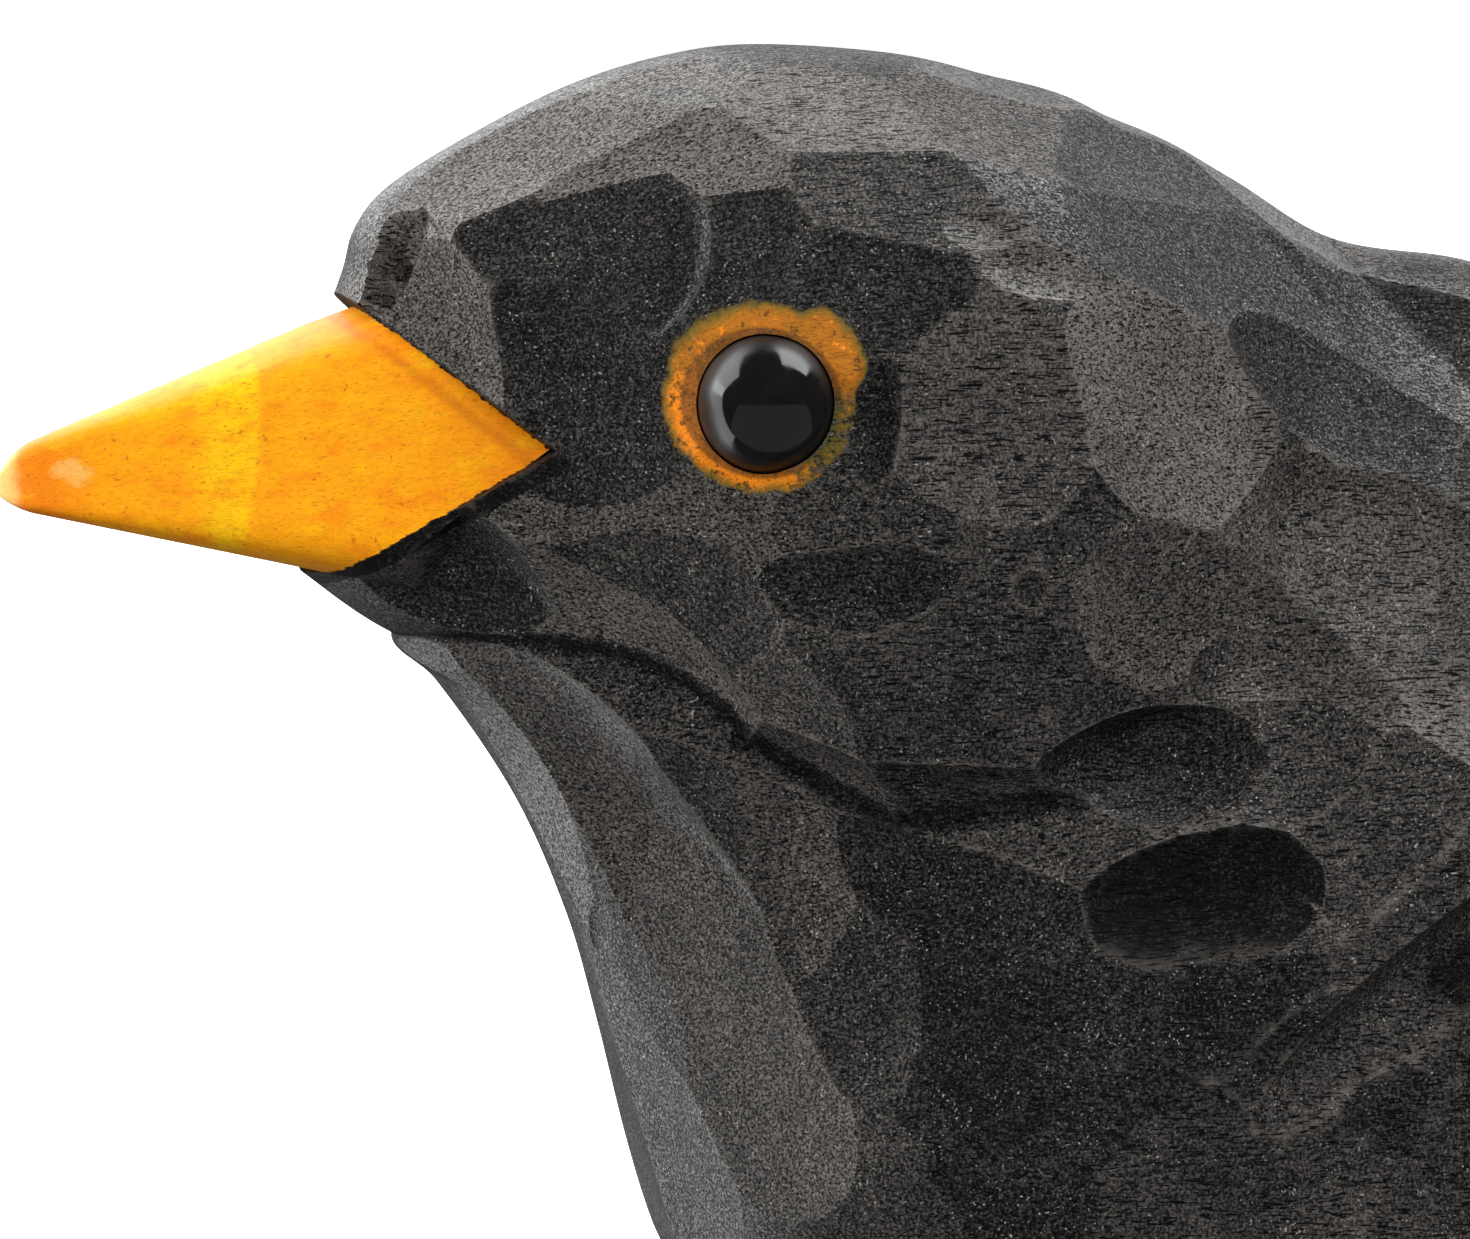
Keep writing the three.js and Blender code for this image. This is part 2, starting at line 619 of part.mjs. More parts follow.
function beakGeometry() {
  const shares = [0.0015, 0.008, 0.02, 0.04, 0.07, 0.14, 0.25, 0.37, 0.5, 0.63, 0.76, 0.88, 1];
  return skin(shares.map(beakSection));
}

const wasm = await Module();
wasm.setup();

function toManifold(geometry) {
  const solid = new wasm.Manifold(new wasm.Mesh({
    numProp: 3,
    vertProperties: new Float32Array(geometry.attributes.position.array),
    triVerts: new Uint32Array(geometry.index.array),
  }));
  return solid;
}

function toGeometry(solid) {
  const mesh = solid.getMesh();
  const geometry = new THREE.BufferGeometry();
  geometry.setAttribute('position', new THREE.BufferAttribute(new Float32Array(mesh.vertProperties), 3));
  geometry.setIndex(new THREE.BufferAttribute(new Uint32Array(mesh.triVerts), 1));
  return geometry;
}

function beadCentre(side) {
  const surface = sidePoint(EYE_PLACE.x, EYE_PLACE.z);
  surface.addScaledVector(roughNormal(surface, 1.2), -BEAD_SINK);
  surface.y *= -side;
  return surface;
}

function ballGeometry(radius, centre) {
  const ball = new THREE.SphereGeometry(radius, 20, 12);
  ball.rotateX(Math.PI / 2);
  ball.translate(centre.x, centre.y, centre.z);
  ball.deleteAttribute('normal');
  ball.deleteAttribute('uv');
  return mergeVertices(ball, 1e-4);
}

function carvedBodyGeometry() {
  let beak = toManifold(beakGeometry());
  const brow = stopNormal(BROW_ANGLE);
  beak = beak.trimByPlane(brow.toArray(), gape.dot(brow) - LET_IN);
  for (const side of [-1, 1]) {
    const chin = stopNormal(CHIN_ANGLE, JAW_WALL_TURN, side);
    const corner = new THREE.Vector3(GAPE.x, -side * GAPE.y, GAPE.z);
    beak = beak.trimByPlane(chin.toArray(), corner.dot(chin));
  }
  let solid = toManifold(carvedBlock()).add(beak);
  for (const side of [-1, 1]) {
    const socket = ballGeometry(BEAD_DIAMETER / 2 + SOCKET_GAP, beadCentre(side));
    solid = solid.subtract(toManifold(socket));
  }
  return toGeometry(solid);
}

const blackStainedWood = new THREE.MeshStandardMaterial({ color: 0x2b2927, roughness: 0.75, metalness: 0 });
const blackGlass = new THREE.MeshStandardMaterial({ color: 0x050505, roughness: 0.04, metalness: 0 });

function named(name, geometry, material) {
  const mesh = new THREE.Mesh(geometry, material);
  mesh.name = name;
  return mesh;
}

const bird = new THREE.Group();
bird.add(named('carved_bird', carvedBodyGeometry(), blackStainedWood));
bird.add(named('left_bead_eye', ballGeometry(BEAD_DIAMETER / 2, beadCentre(-1)), blackGlass));
bird.add(named('right_bead_eye', ballGeometry(BEAD_DIAMETER / 2, beadCentre(1)), blackGlass));

export default bird;
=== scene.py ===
"""Bust of a hand-carved blackbird: knife-cut black wood, an orange beak and glass bead eyes.

Shapes are worked out in millimetres in the part's own frame and put into the meshes in metres.
The beak points to -X, the bird's left side to -Y, and the flat underside lies at z = 0.
"""
import logging
import math
from dataclasses import dataclass, field
from enum import Enum
from typing import Any, Callable, Sequence

import bpy
import numpy as np
from mathutils import Matrix, Vector


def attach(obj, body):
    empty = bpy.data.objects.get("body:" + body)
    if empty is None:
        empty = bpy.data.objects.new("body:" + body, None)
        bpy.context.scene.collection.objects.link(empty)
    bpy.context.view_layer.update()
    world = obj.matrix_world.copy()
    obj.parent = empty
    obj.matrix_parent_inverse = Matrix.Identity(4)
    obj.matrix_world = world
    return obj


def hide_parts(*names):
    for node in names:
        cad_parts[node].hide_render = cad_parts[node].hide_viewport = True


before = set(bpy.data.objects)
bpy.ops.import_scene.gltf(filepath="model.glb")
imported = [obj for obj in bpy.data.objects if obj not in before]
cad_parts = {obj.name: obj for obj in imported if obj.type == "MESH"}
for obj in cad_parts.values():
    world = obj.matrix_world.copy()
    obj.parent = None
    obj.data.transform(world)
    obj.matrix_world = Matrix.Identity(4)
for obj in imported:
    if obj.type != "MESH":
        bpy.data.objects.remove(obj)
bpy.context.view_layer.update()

MM = 0.001
log = logging.getLogger("bird")

Array = np.ndarray
Surface = tuple[Array, Array]
Pair = tuple[float, float]
Triple = tuple[float, float, float]
Colour = Triple
Term = "Sock | float"


def smooth_step(low: float, high: float, value: Array) -> Array:
    """Rise from 0 at low to 1 at high along 3t^2 - 2t^3.

    Args:
        low: Value where the rise starts.
        high: Value where it ends, which may lie below low.
        value: Where it is wanted.

    Returns:
        The share for each value.
    """
    t = np.clip((value - low) / (high - low), 0, 1)
    return t * t * (3 - 2 * t)


def unit(vectors: Array) -> Array:
    """Scale each vector to length 1."""
    return vectors / np.maximum(np.linalg.norm(vectors, axis=-1, keepdims=True), 1e-12)


def halving(near: Array, far: Array, steps: int, inside: Callable[[Array], Array]) -> tuple[Array, Array]:
    """Halve the ways between near and far, again and again, about where a test stops holding.

    Args:
        near: Places where the test holds.
        far: Places where it doesn't.
        steps: Number of halvings.
        inside: The test.

    Returns:
        The last near and far places.
    """
    for _ in range(steps):
        middle = (near + far) / 2
        holds = inside(middle)
        near = np.where(holds, middle, near)
        far = np.where(holds, far, middle)
    return near, far


def spline(points: Sequence[Sequence[float]], steps: int) -> Array:
    """Run a closed Catmull-Rom curve through points.

    Between two points p1 and p2 it is half of 2p1 + (p2-p0)t + (2p0-5p1+4p2-p3)t^2
    + (3p1-p0-3p2+p3)t^3.

    Args:
        points: The points it passes through.
        steps: Samples from each point to the next.

    Returns:
        The samples, one row each.
    """
    p = np.asarray(points, float)
    index = np.arange(len(p))
    before, start, end, after = (p[(index + k) % len(p)][:, None, :] for k in (-1, 0, 1, 2))
    t = np.linspace(0, 1, steps, endpoint=False)[None, :, None]
    curve = 2 * start + (end - before) * t + (2 * before - 5 * start + 4 * end - after) * t**2
    curve = (curve + (3 * start - before - 3 * end + after) * t**3) / 2
    return curve.reshape(-1, p.shape[1])


class Side(Enum):
    """The bird's two sides, as the sign of y."""

    LEFT = -1
    RIGHT = 1


class Wood(Enum):
    """Which lump of the roughed-out block a cut is made in."""

    FACE = "face"
    BREAST = "breast"
    WHOLE = "whole"


class Ground(Enum):
    """Surfaces that aren't knife cuts, as owner numbers past the cuts' own."""

    HEAD = 1000
    BREAST = 1001
    STOP_BROW = 1002
    STOP_CHIN = 1003
    BASE = 1004


class StainAndShade(Enum):
    """How deep the stain sits in a cut, from thin and light to black; the grades also paint in the light
    and shade that fall on each cut.
    """

    THIN = 0.0
    LIGHT = 0.25
    PLAIN = 0.5
    DARK = 0.75
    BLACK = 1.0


THIN, LIGHT, PLAIN, DARK, BLACK = StainAndShade
NEAR_BLACK = (0.8, 1.0)


@dataclass(frozen=True)
class Scoop:
    """One cut of the knife, placed from the side.

    Attributes:
        x: Middle of the cut along the bird, in mm.
        z: Height of its middle.
        depth: How far it goes below the rough surface.
        length: Half the length that it would have on its own.
        width: Half its width.
        angle: Direction of the stroke seen from the left, in degrees above the level.
        lean_up: Degrees by which its floor turns to the sky.
        lean_fore: Degrees by which its floor turns towards the beak.
        stain: How deep the stain sits in it, a grade that also paints in the light and shade falling on the
            cut.
    """

    x: float
    z: float
    depth: float = 0.5
    length: float = 6.0
    width: float = 4.0
    angle: float = 0.0
    lean_up: float = 0.0
    lean_fore: float = 0.0
    stain: StainAndShade = PLAIN


@dataclass
class Cushion:
    """A form with a closed side outline, full in the middle and rounded off to its edge.

    A point is inside where (distance from centre / outline radius)^roundness
    + (|y| / half width)^side_roundness is under 1.
    """

    centre: Pair
    outline: tuple[Pair, ...]
    half_width: Callable[[Array, Array], Array]
    roundness: float
    side_roundness: float

    def __post_init__(self) -> None:
        """Turn the outline into radius by angle about the centre."""
        curve = spline(self.outline, 10) - np.array(self.centre)
        angle = np.arctan2(curve[:, 1], curve[:, 0])
        order = np.argsort(angle)
        self.angles = angle[order]
        self.radii = np.hypot(curve[:, 0], curve[:, 1])[order]

    def fullness(self, points: Array) -> Array:
        """Say how near the surface points are.

        Args:
            points: The points, in mm.

        Returns:
            Numbers under 1 inside and over 1 outside.
        """
        dx = points[..., 0] - self.centre[0]
        dz = points[..., 2] - self.centre[1]
        edge = np.interp(np.arctan2(dz, dx), self.angles, self.radii, period=2 * math.pi)
        reach = (np.hypot(dx, dz) / edge) ** self.roundness
        spread = np.abs(points[..., 1]) / self.half_width(points[..., 0], points[..., 2])
        return reach + spread**self.side_roundness

    def radius(self, rays: Array) -> Array:
        """Find where rays from the carving centre leave the form.

        Args:
            rays: Their unit directions.

        Returns:
            Their lengths.
        """
        near, far = np.zeros(rays.shape[:-1]), np.full(rays.shape[:-1], BEYOND)
        ends = halving(near, far, 24, lambda t: self.fullness(CARVE_CENTRE + rays * t[..., None]) < 1)
        return sum(ends) / 2


# Driving dimensions, in mm
BEAD_DIAMETER = 6.0
BEAD_SINK = 1.0
SOCKET_GAP = 0.08
EYE_PLACE = (-21.5, 40.6)
BEAK_TIP = (-52.3, 36.46)
BEAK_ROOT_X = -25.0
BEYOND = 60.0
CARVE_CENTRE = np.array([-10.0, 0.0, 29.0])
GRID_PROPORTION = np.array([32.0, 18.0, 26.0])

HEAD_OUTLINE = (
    (-38.4, 32.2), (-39.6, 33.2), (-41.0, 34.8), (-41.3, 37.0), (-40.0, 40.0), (-38.4, 42.4),
    (-37.6, 44.2), (-37.0, 45.8), (-36.5, 47.5), (-35.0, 49.3), (-31.2, 51.6), (-27.0, 53.6),
    (-23.0, 54.8), (-19.0, 55.3), (-13.0, 54.9), (-9.0, 54.0), (-4.0, 52.4),
    (2.0, 47.6), (7.0, 40.0), (7.5, 31.0), (3.0, 21.0), (-8.0, 13.8),
    (-19.0, 14.2), (-25.2, 21.0), (-30.8, 27.4), (-35.9, 30.4),
)
BREAST_OUTLINE = (
    (-21.2, 0.0), (-23.0, 3.0), (-24.4, 7.0), (-25.6, 12.0), (-27.0, 17.0), (-29.0, 21.6),
    (-31.0, 25.0), (-33.0, 27.8), (-34.9, 29.9), (-32.0, 33.0), (-26.0, 38.0), (-14.0, 44.0),
    (-5.0, 48.5), (1.0, 48.0), (6.0, 46.4), (13.0, 45.6), (18.0, 43.4), (21.5, 38.5),
    (23.5, 30.0), (24.2, 20.0), (23.9, 10.0), (22.8, 0.0), (20.0, -8.0), (0.0, -14.0), (-19.0, -8.0),
)
HEAD_HALF_WIDTHS = (
    (-40, 9.4), (-37, 10.0), (-33, 10.4), (-29, 11.0), (-25, 12.7), (-21, 14.4),
    (-16, 15.7), (-10, 16.4), (-4, 16.4), (2, 15.8), (10, 14.0),
)
NECK_HALF_WIDTH = 12.6
BREAST_HALF_WIDTH = 18.0
SHOULDER_LINE = (-14.0, 18.0, 0.62)
SHOULDER_SWELL = (9.0, -14.0)

# Knife cuts on the left side, placed in mm; each cut's stain grade also paints in the light and shade on
# its facet

FACE_SCOOPS = (
    Scoop(-27.8, 42.9, 0.6, 5, 5, 20, stain=DARK),
    Scoop(-34.2, 43.8, 0.8, 7, 3.5, -42, stain=LIGHT),
    Scoop(-27.3, 39.1, 0.5, 6, 5, 10, stain=DARK),
    Scoop(-24.4, 35.6, 0.4, 8, 3, -12, stain=LIGHT),
    Scoop(-20.5, 35.3, 0.35, 3, 2),
    Scoop(-25.5, 33.2, 0.5, 5, 4, -15),
    Scoop(-17.2, 33.1, 0.6, 5, 2, 0, -6, stain=DARK),
    Scoop(-10.4, 32.5, 0.5, 1, 1),
    Scoop(-29.3, 32.0, 0.4, 8, 2.5, -33, stain=THIN),
    Scoop(-20.7, 27.3, 0.4, 8, 2.5, -28, stain=LIGHT),
    Scoop(-32.0, 29.4, 0.2, 5, 3, -38, stain=DARK),
    Scoop(-25.3, 25.2, 0.8, 7, 4.0, -38, -12),
    Scoop(-22.4, 25.2, 0.9, 9, 4, -25, -16, stain=LIGHT),
    Scoop(-14.2, 23.6, 0.9, 9, 3.5, -5, -20),
    Scoop(-13.3, 28.4, 0.5, 6, 5),
)
BREAST_SCOOPS = (
    Scoop(-33.5, 28.7, 0.35, 9, 4, -55),
    Scoop(-29.2, 23.3, 0.35, 9, 4, -60, stain=LIGHT),
    Scoop(-23.5, 20.6, 0.4, 6, 4, -50),
    Scoop(-19.2, 19.0, 0.5, 6, 4, -55, stain=LIGHT),
    Scoop(-25.2, 16.0, 0.35, 9, 4, -70, stain=DARK),
    Scoop(-21.2, 11.0, 0.55, 10, 4, -50, stain=LIGHT),
    Scoop(-23.6, 7.2, 0.5, 10, 4, -60, stain=DARK),
    Scoop(-16.6, 14.7, 0.5, 6, 4, -60),
    Scoop(-13.0, 19.3, 0.6, 7, 4, -10, -4, stain=DARK),
    Scoop(-3.3, 20.3, 1.0, 6, 2.8, 5, -20, -8, stain=BLACK),
    Scoop(-8.5, 15.5, 0.6, 5, 4, -25, -6, stain=DARK),
    Scoop(-12.3, 12.9, 0.5, 6, 5, -20, stain=DARK),
    Scoop(-7.2, 11.0, 0.6, 8, 4, -25, -3, stain=DARK),
    Scoop(-10.0, 7.1, 0.55, 9, 4, -25, stain=DARK),
    Scoop(-2.8, 7.8, 0.55, 8, 4, -25),
    Scoop(-2.4, 15.1, 0.55, 5, 4, 30, stain=DARK),
    Scoop(1.1, 11.8, 0.5, 4, 3, 20, 4, stain=DARK),
    Scoop(9.6, 17.9, 1.1, 8.5, 2.0, 38, -14),
    Scoop(4.8, 22.5, 0.7, 10, 3, 45),
    Scoop(4.6, 11.5, 0.7, 4, 3, -60, -6, stain=DARK),
    Scoop(3.4, 7.7, 0.5, 5, 4, -40),
    Scoop(6.9, 8.8, 0.5, 5, 4, -40),
    Scoop(7.3, 13.1, 0.5, 3, 3, -40),
)
WHOLE_SCOOPS = (
    Scoop(-29.1, 51.4, 0.45, 12, 6, 25, stain=THIN),
    Scoop(-34.9, 47.1, 0.3, 6, 5, 60, stain=THIN),
    Scoop(-24.1, 50.5, 0.5, 6, 4, 20, stain=THIN),
    Scoop(-17.2, 52.8, 0.5, 8, 4, stain=THIN),
    Scoop(-9.5, 52.3, 0.5, 8, 5, -15, stain=LIGHT),
    Scoop(-30.1, 46.4, 0.5, 6, 5, 15, stain=DARK),
    Scoop(-23.1, 47.6, 0.55, 6, 5, 10, stain=DARK),
    Scoop(-15.9, 49.5, 0.5, 8, 5, -5),
    Scoop(-16.4, 45.4, 0.5, 6, 4, -10, stain=DARK),
    Scoop(-12.4, 48.0, 0.35, 2.6, 1.3, -10, 4, stain=LIGHT),
    Scoop(-9.6, 46.0, 0.35, 2.6, 1.3, -10, 4, stain=LIGHT),
    Scoop(-11.7, 40.9, 0.6, 5, 5, stain=LIGHT),
    Scoop(-5.3, 40.6, 0.6, 6, 5, -30, 0, -6, stain=THIN),
    Scoop(-4.4, 32.0, 0.55, 6, 4, -10, stain=LIGHT),
    Scoop(-2.8, 47.5, 0.55, 9, 5, -30, stain=DARK),
    Scoop(-1.5, 49.5, 0.5, 10, 5, -30, stain=DARK),
    Scoop(4.4, 43.5, 0.5, 8, 4, -30, stain=DARK),
    Scoop(3.4, 34.2, 0.6, 7, 5, -60, stain=LIGHT),
    Scoop(7.4, 30.9, 0.6, 6, 4, -60, stain=LIGHT),
    Scoop(7.9, 26.1, 0.6, 3, 3, -60, 10, -10, stain=THIN),
    Scoop(8.8, 40.0, 0.5, 8, 4, -20, stain=DARK),
    Scoop(2.1, 25.2, 0.6, 5, 4, -50),
    Scoop(-4.5, 25.9, 1.0, 6, 2.4, 15, -20, stain=DARK),
    Scoop(-35.6, 46.6, 1.6, 3.0, 1.1, 58, -10, stain=THIN),
    Scoop(-16.7, 40.4, 0.7, 3.2, 1.3, 82, 0, 8, stain=DARK),
)


@dataclass(frozen=True)
class Stop:
    """A straight knife stop across the face from the corner of the gape, where the beak is let in.

    Attributes:
        rise: Angle of its edge above the level, towards the beak, in degrees.
        turn: Angle by which its wall turns out to one side.
    """

    rise: float
    turn: float = 0.0

    def normal(self, side: Side = Side.LEFT) -> Array:
        """Work out the wall's normal.

        Args:
            side: The side of the bird that it is on.

        Returns:
            The unit normal that points to the front of the bird.
        """
        rise, turn = math.radians(self.rise), math.radians(self.turn)
        level = math.cos(turn)
        up = math.cos(rise) if rise < 0 else -math.cos(rise)
        return np.array([-math.sin(abs(rise)) * level, -side.value * math.sin(turn), up * level])


GAPE = np.array([-29.5, -8.0, 38.3])
STOP_BROW = Stop(39)
STOP_CHIN = Stop(-31)
JAW_WALL = Stop(-31, 40)
LET_IN = 0.5


@dataclass
class RoughBlock:
    """The bird sawn and rounded to its rough form: a head and a breast that run into each other.

    Attributes:
        head: The form of the head.
        breast: The form of the neck, breast and back.
        nape_blend: Reach in mm over which the two run into each other at the nape.
        nape_rise: How much a ray's rise counts beside its way to the back, to be at the nape.
        nape_share: Between which of these shares the nape's blend sets in.
        cheek_blend: Reach over which the two meet elsewhere, as in the throat seam.
        slope_step: Step in mm over which slopes are measured.
        height_search: How far in mm the surface is looked for above and below a point.
    """

    head: Cushion = field(init=False)
    breast: Cushion = field(init=False)
    nape_blend: float = 6.0
    nape_rise: float = 0.35
    nape_share: Pair = (0.3, 0.75)
    cheek_blend: float = 0.15
    slope_step: float = 1.2
    height_search: float = 8.0

    def __post_init__(self) -> None:
        """Set up the two forms."""
        self.head = Cushion((-17, 36), HEAD_OUTLINE, self.head_half_width, 2.6, 2.1)
        self.breast = Cushion((-1, 16), BREAST_OUTLINE, self.breast_half_width, 2.8, 2.2)

    @staticmethod
    def head_half_width(x: Array, z: Array) -> Array:
        """Half width of the head by its place along the bird."""
        places, widths = np.array(HEAD_HALF_WIDTHS).T
        return np.interp(x, places, widths)

    @staticmethod
    def breast_half_width(x: Array, z: Array) -> Array:
        """Half width of the neck, which swells into the breast below a sloping line.

        Args:
            x: Places along the bird.
            z: Heights.

        Returns:
            Half widths in mm.
        """
        line_x, line_z, slope = SHOULDER_LINE
        swell = smooth_step(*SHOULDER_SWELL, z - line_z - slope * (x - line_x))
        return NECK_HALF_WIDTH + (BREAST_HALF_WIDTH - NECK_HALF_WIDTH) * swell

    def join(self, a: Array, b: Array, rays: Array) -> Array:
        """Take the larger of two lengths, blended over a wide reach at the nape and none at the cheek.

        Args:
            a: Lengths along the rays to one form.
            b: Lengths to the other.
            rays: Unit directions.

        Returns:
            Lengths to the two as one.
        """
        nape = smooth_step(*self.nape_share, rays[..., 0] + self.nape_rise * rays[..., 2])
        reach = self.cheek_blend + self.nape_blend * nape
        overlap = np.maximum(reach - np.abs(a - b), 0) / reach
        return np.maximum(a, b) + overlap**2 * reach / 4

    def reach(self, rays: Array) -> Array:
        """Lengths of unit rays from the carving centre to the rough form."""
        return self.join(self.head.radius(rays), self.breast.radius(rays), rays)

    def outside(self, points: Array) -> Array:
        """Measure how far points lie beyond the rough form along their rays from the carving centre.

        Args:
            points: The points, in mm.

        Returns:
            Distances, under 0 inside.
        """
        rays = points - CARVE_CENTRE
        lengths = np.linalg.norm(rays, axis=-1)
        return lengths - self.reach(rays / lengths[..., None])

    def side_points(self, x: Array, z: Array) -> Array:
        """Find the points on the left side.

        Args:
            x: Places along the bird.
            z: Heights.

        Returns:
            Points in mm.
        """
        near, far = np.zeros(x.shape), np.full(x.shape, BEYOND / 2)
        near, _ = halving(near, far, 20, lambda y: self.outside(np.stack([x, -y, z], -1)) < 0)
        return np.stack([x, -near, z], -1)

    def normals(self, points: Array) -> Array:
        """Work out outward normals from differences over a step either way.

        Args:
            points: Points on the rough form.

        Returns:
            Unit normals.
        """
        shifts = np.eye(3) * self.slope_step
        slopes = [self.outside(points + shift) - self.outside(points - shift) for shift in shifts]
        return unit(np.stack(slopes, -1))

    def curvature(self, points: Array, normals: Array, tangents: Array, span: Array) -> Array:
        """Measure curvature: minus the two heights a span away, over the span squared.

        Args:
            points: Points on the rough form.
            normals: Its normals there.
            tangents: Directions to measure along.
            span: How far to go for each.

        Returns:
            Curvatures, over 0 where the form is round.
        """
        total = np.zeros(len(points))
        for way in (-1, 1):
            foot = points + way * tangents * span[:, None]
            low, high = (np.full(len(points), end * self.height_search) for end in (-1, 1))
            ends = halving(low, high, 14, lambda h: self.outside(foot + normals * h[:, None]) < 0)
            total += sum(ends) / 2
        return -total / span**2


@dataclass
class KnifeCuts:
    """All the knife's cuts on the block, held as arrays with one row a cut.

    Each cut is a shallow bowl: its floor lies a depth below the rough surface at its place and
    rises as half of bend times the square of the way along, and likewise across.

    Attributes:
        block: The block that they are made in.
        least_bend: Smallest bend of a cut's floor, per mm.
        bend_share: Share of a cut's half size over which the block's own roundness is measured.
        bowl_reach: Share of its size up to which a cut is a plain bowl.
        bowl_limit: Overshoot, in its sizes, past which a cut reaches nothing.
        climb: Slope at which it climbs away past its reach.
        climb_start: Way in mm over which the climb sets in.
        right_shift: How far a cut on the right is moved along and up, in mm, and turned.
        right_stain_and_shade: Share of the left side's differences in stain grade, with its painted light
            and shade, on the right.
        crown_facets: Number of facets over the crown.
        crown_turns: Angle of the first from the back's level, and the step to the next.
        crown_size: Depth, half length and half width of a crown facet.
        crown_aside: Way of a crown facet to the side of the middle, beside 1 out.
        crown_swing: Largest way of its stroke to a side, beside 1 along.
        back_rows: Angles of the back's rows above the level.
        back_facets: Facets in each row.
        back_spread: Half the angle that a row spans.
        back_wander: Largest angle by which a back facet lies above or below its row.
        back_size: Depth, half length and half width of a back facet.
        back_stroke: Way of its stroke to the back, and the largest to a side, beside 1 down.
        back_limits: Place along the bird and height past which the back has facets.
    """

    block: RoughBlock
    least_bend: float = 1 / 400
    bend_share: float = 0.7
    bowl_reach: float = 1.1
    bowl_limit: float = 2.5
    climb: float = 1.3
    climb_start: float = 0.6
    right_shift: Triple = (0.7, 0.6, 12.0)
    right_stain_and_shade: float = 0.5
    crown_facets: int = 7
    crown_turns: Pair = (134.0, -15.5)
    crown_size: Triple = (0.25, 4.5, 3.4)
    crown_aside: float = 0.16
    crown_swing: float = 0.25
    back_rows: tuple[int, ...] = (42, 22, 4, -14, -32)
    back_facets: int = 6
    back_spread: float = 62.0
    back_wander: float = 4.0
    back_size: Triple = (0.5, 7.0, 4.5)
    back_stroke: Pair = (0.3, 0.35)
    back_limits: Pair = (14.0, 3.0)
    places: list[Array] = field(default_factory=list)
    normals: list[Array] = field(default_factory=list)
    strokes: list[Array] = field(default_factory=list)
    sizes: list[Array] = field(default_factory=list)
    woods: list[Wood] = field(default_factory=list)
    stains_and_shades: list[float] = field(default_factory=list)

    def add(self, places: Array, strokes: Array, shape: Array, lean: Array, wood: Wood) -> None:
        """Add cuts at points on the rough form.

        Args:
            places: Points on the rough form.
            strokes: Directions of the knife, made tangent here.
            shape: Depth, half length and half width of each.
            lean: Lean up and lean to the fore of each, in degrees.
            wood: The lump that they are cut in.
        """
        rough = self.block.normals(places)
        strokes = unit(strokes - rough * np.sum(rough * strokes, -1, keepdims=True))
        across = np.cross(rough, strokes)
        depth, half_length, half_width = shape.T
        bends = []
        for half_size, tangents in ((half_length, strokes), (half_width, across)):
            hump = self.block.curvature(places, rough, tangents, np.maximum(self.bend_share * half_size, 1))
            bends.append(np.maximum(2 * depth / half_size**2 - hump, self.least_bend))
        uphill = unit(np.array([0, 0, 1.0]) - rough * rough[:, 2:3])
        forward = np.cross(uphill, rough)
        forward *= np.where(forward[:, :1] < 0, 1, -1)
        tilt = np.tan(np.radians(lean))
        normals = unit(rough + uphill * tilt[:, :1] + forward * tilt[:, 1:])
        strokes = unit(strokes - normals * np.sum(normals * strokes, -1, keepdims=True))
        self.places.extend(places)
        self.normals.extend(normals)
        self.strokes.extend(strokes)
        self.sizes.extend(np.stack([depth, half_length, half_width, *bends], -1))
        self.woods.extend([wood] * len(places))
        self.stains_and_shades.extend([PLAIN.value] * len(places))

    def add_sides(self, scoops: Sequence[Scoop], wood: Wood) -> None:
        """Add scoops on the left, and the same a little moved and turned on the right.

        Args:
            scoops: The cuts of the left side.
            wood: The lump that they are cut in.
        """
        rows = np.array([
            [s.x, s.z, s.depth, s.length, s.width, s.angle, s.lean_up, s.lean_fore] for s in scoops
        ])
        stains_and_shades = np.array([s.stain.value for s in scoops])
        index = np.arange(len(rows))
        for side in Side:
            x, z, depth, length, width, angle, lean_up, lean_fore = rows.T
            if side is Side.RIGHT:
                along, up, round_by = self.right_shift
                x = x + along * np.sin(5 * index)
                z = z + up * np.sin(7 * index + 1)
                angle = angle + round_by * np.sin(11 * index + 2)
                # The right side gets a share of the left's differences in stain grade and its painted light
                # and shade.
                stains_and_shades = PLAIN.value + (stains_and_shades - PLAIN.value) * self.right_stain_and_shade
            turn = np.radians(angle)
            strokes = np.stack([np.cos(turn), np.zeros(len(turn)), np.sin(turn)], -1)
            shape = np.stack([depth, length, width], -1)
            before = len(self.places)
            self.add(self.block.side_points(x, z), strokes, shape, np.stack([lean_up, lean_fore], -1), wood)
            flip = np.array([1, -side.value, 1])
            for rows_of in (self.places, self.normals, self.strokes):
                rows_of[before:] = [row * flip for row in rows_of[before:]]
            self.stains_and_shades[before:] = stains_and_shades

    def add_facets(self, rays: Array, strokes: Sequence[Array], shape: Sequence[Array]) -> None:
        """Add upright cuts where rays from the carving centre leave the rough form.

        Args:
            rays: Unit directions.
            strokes: The knife's way forward, sideways and up at each.
            shape: Depth, half length and half width of each.
        """
        columns = [np.stack(np.broadcast_arrays(*parts), -1) for parts in (strokes, shape)]
        places = CARVE_CENTRE + rays * self.block.reach(rays)[:, None]
        self.add(places, *columns, np.zeros((len(rays), 2)), Wood.WHOLE)

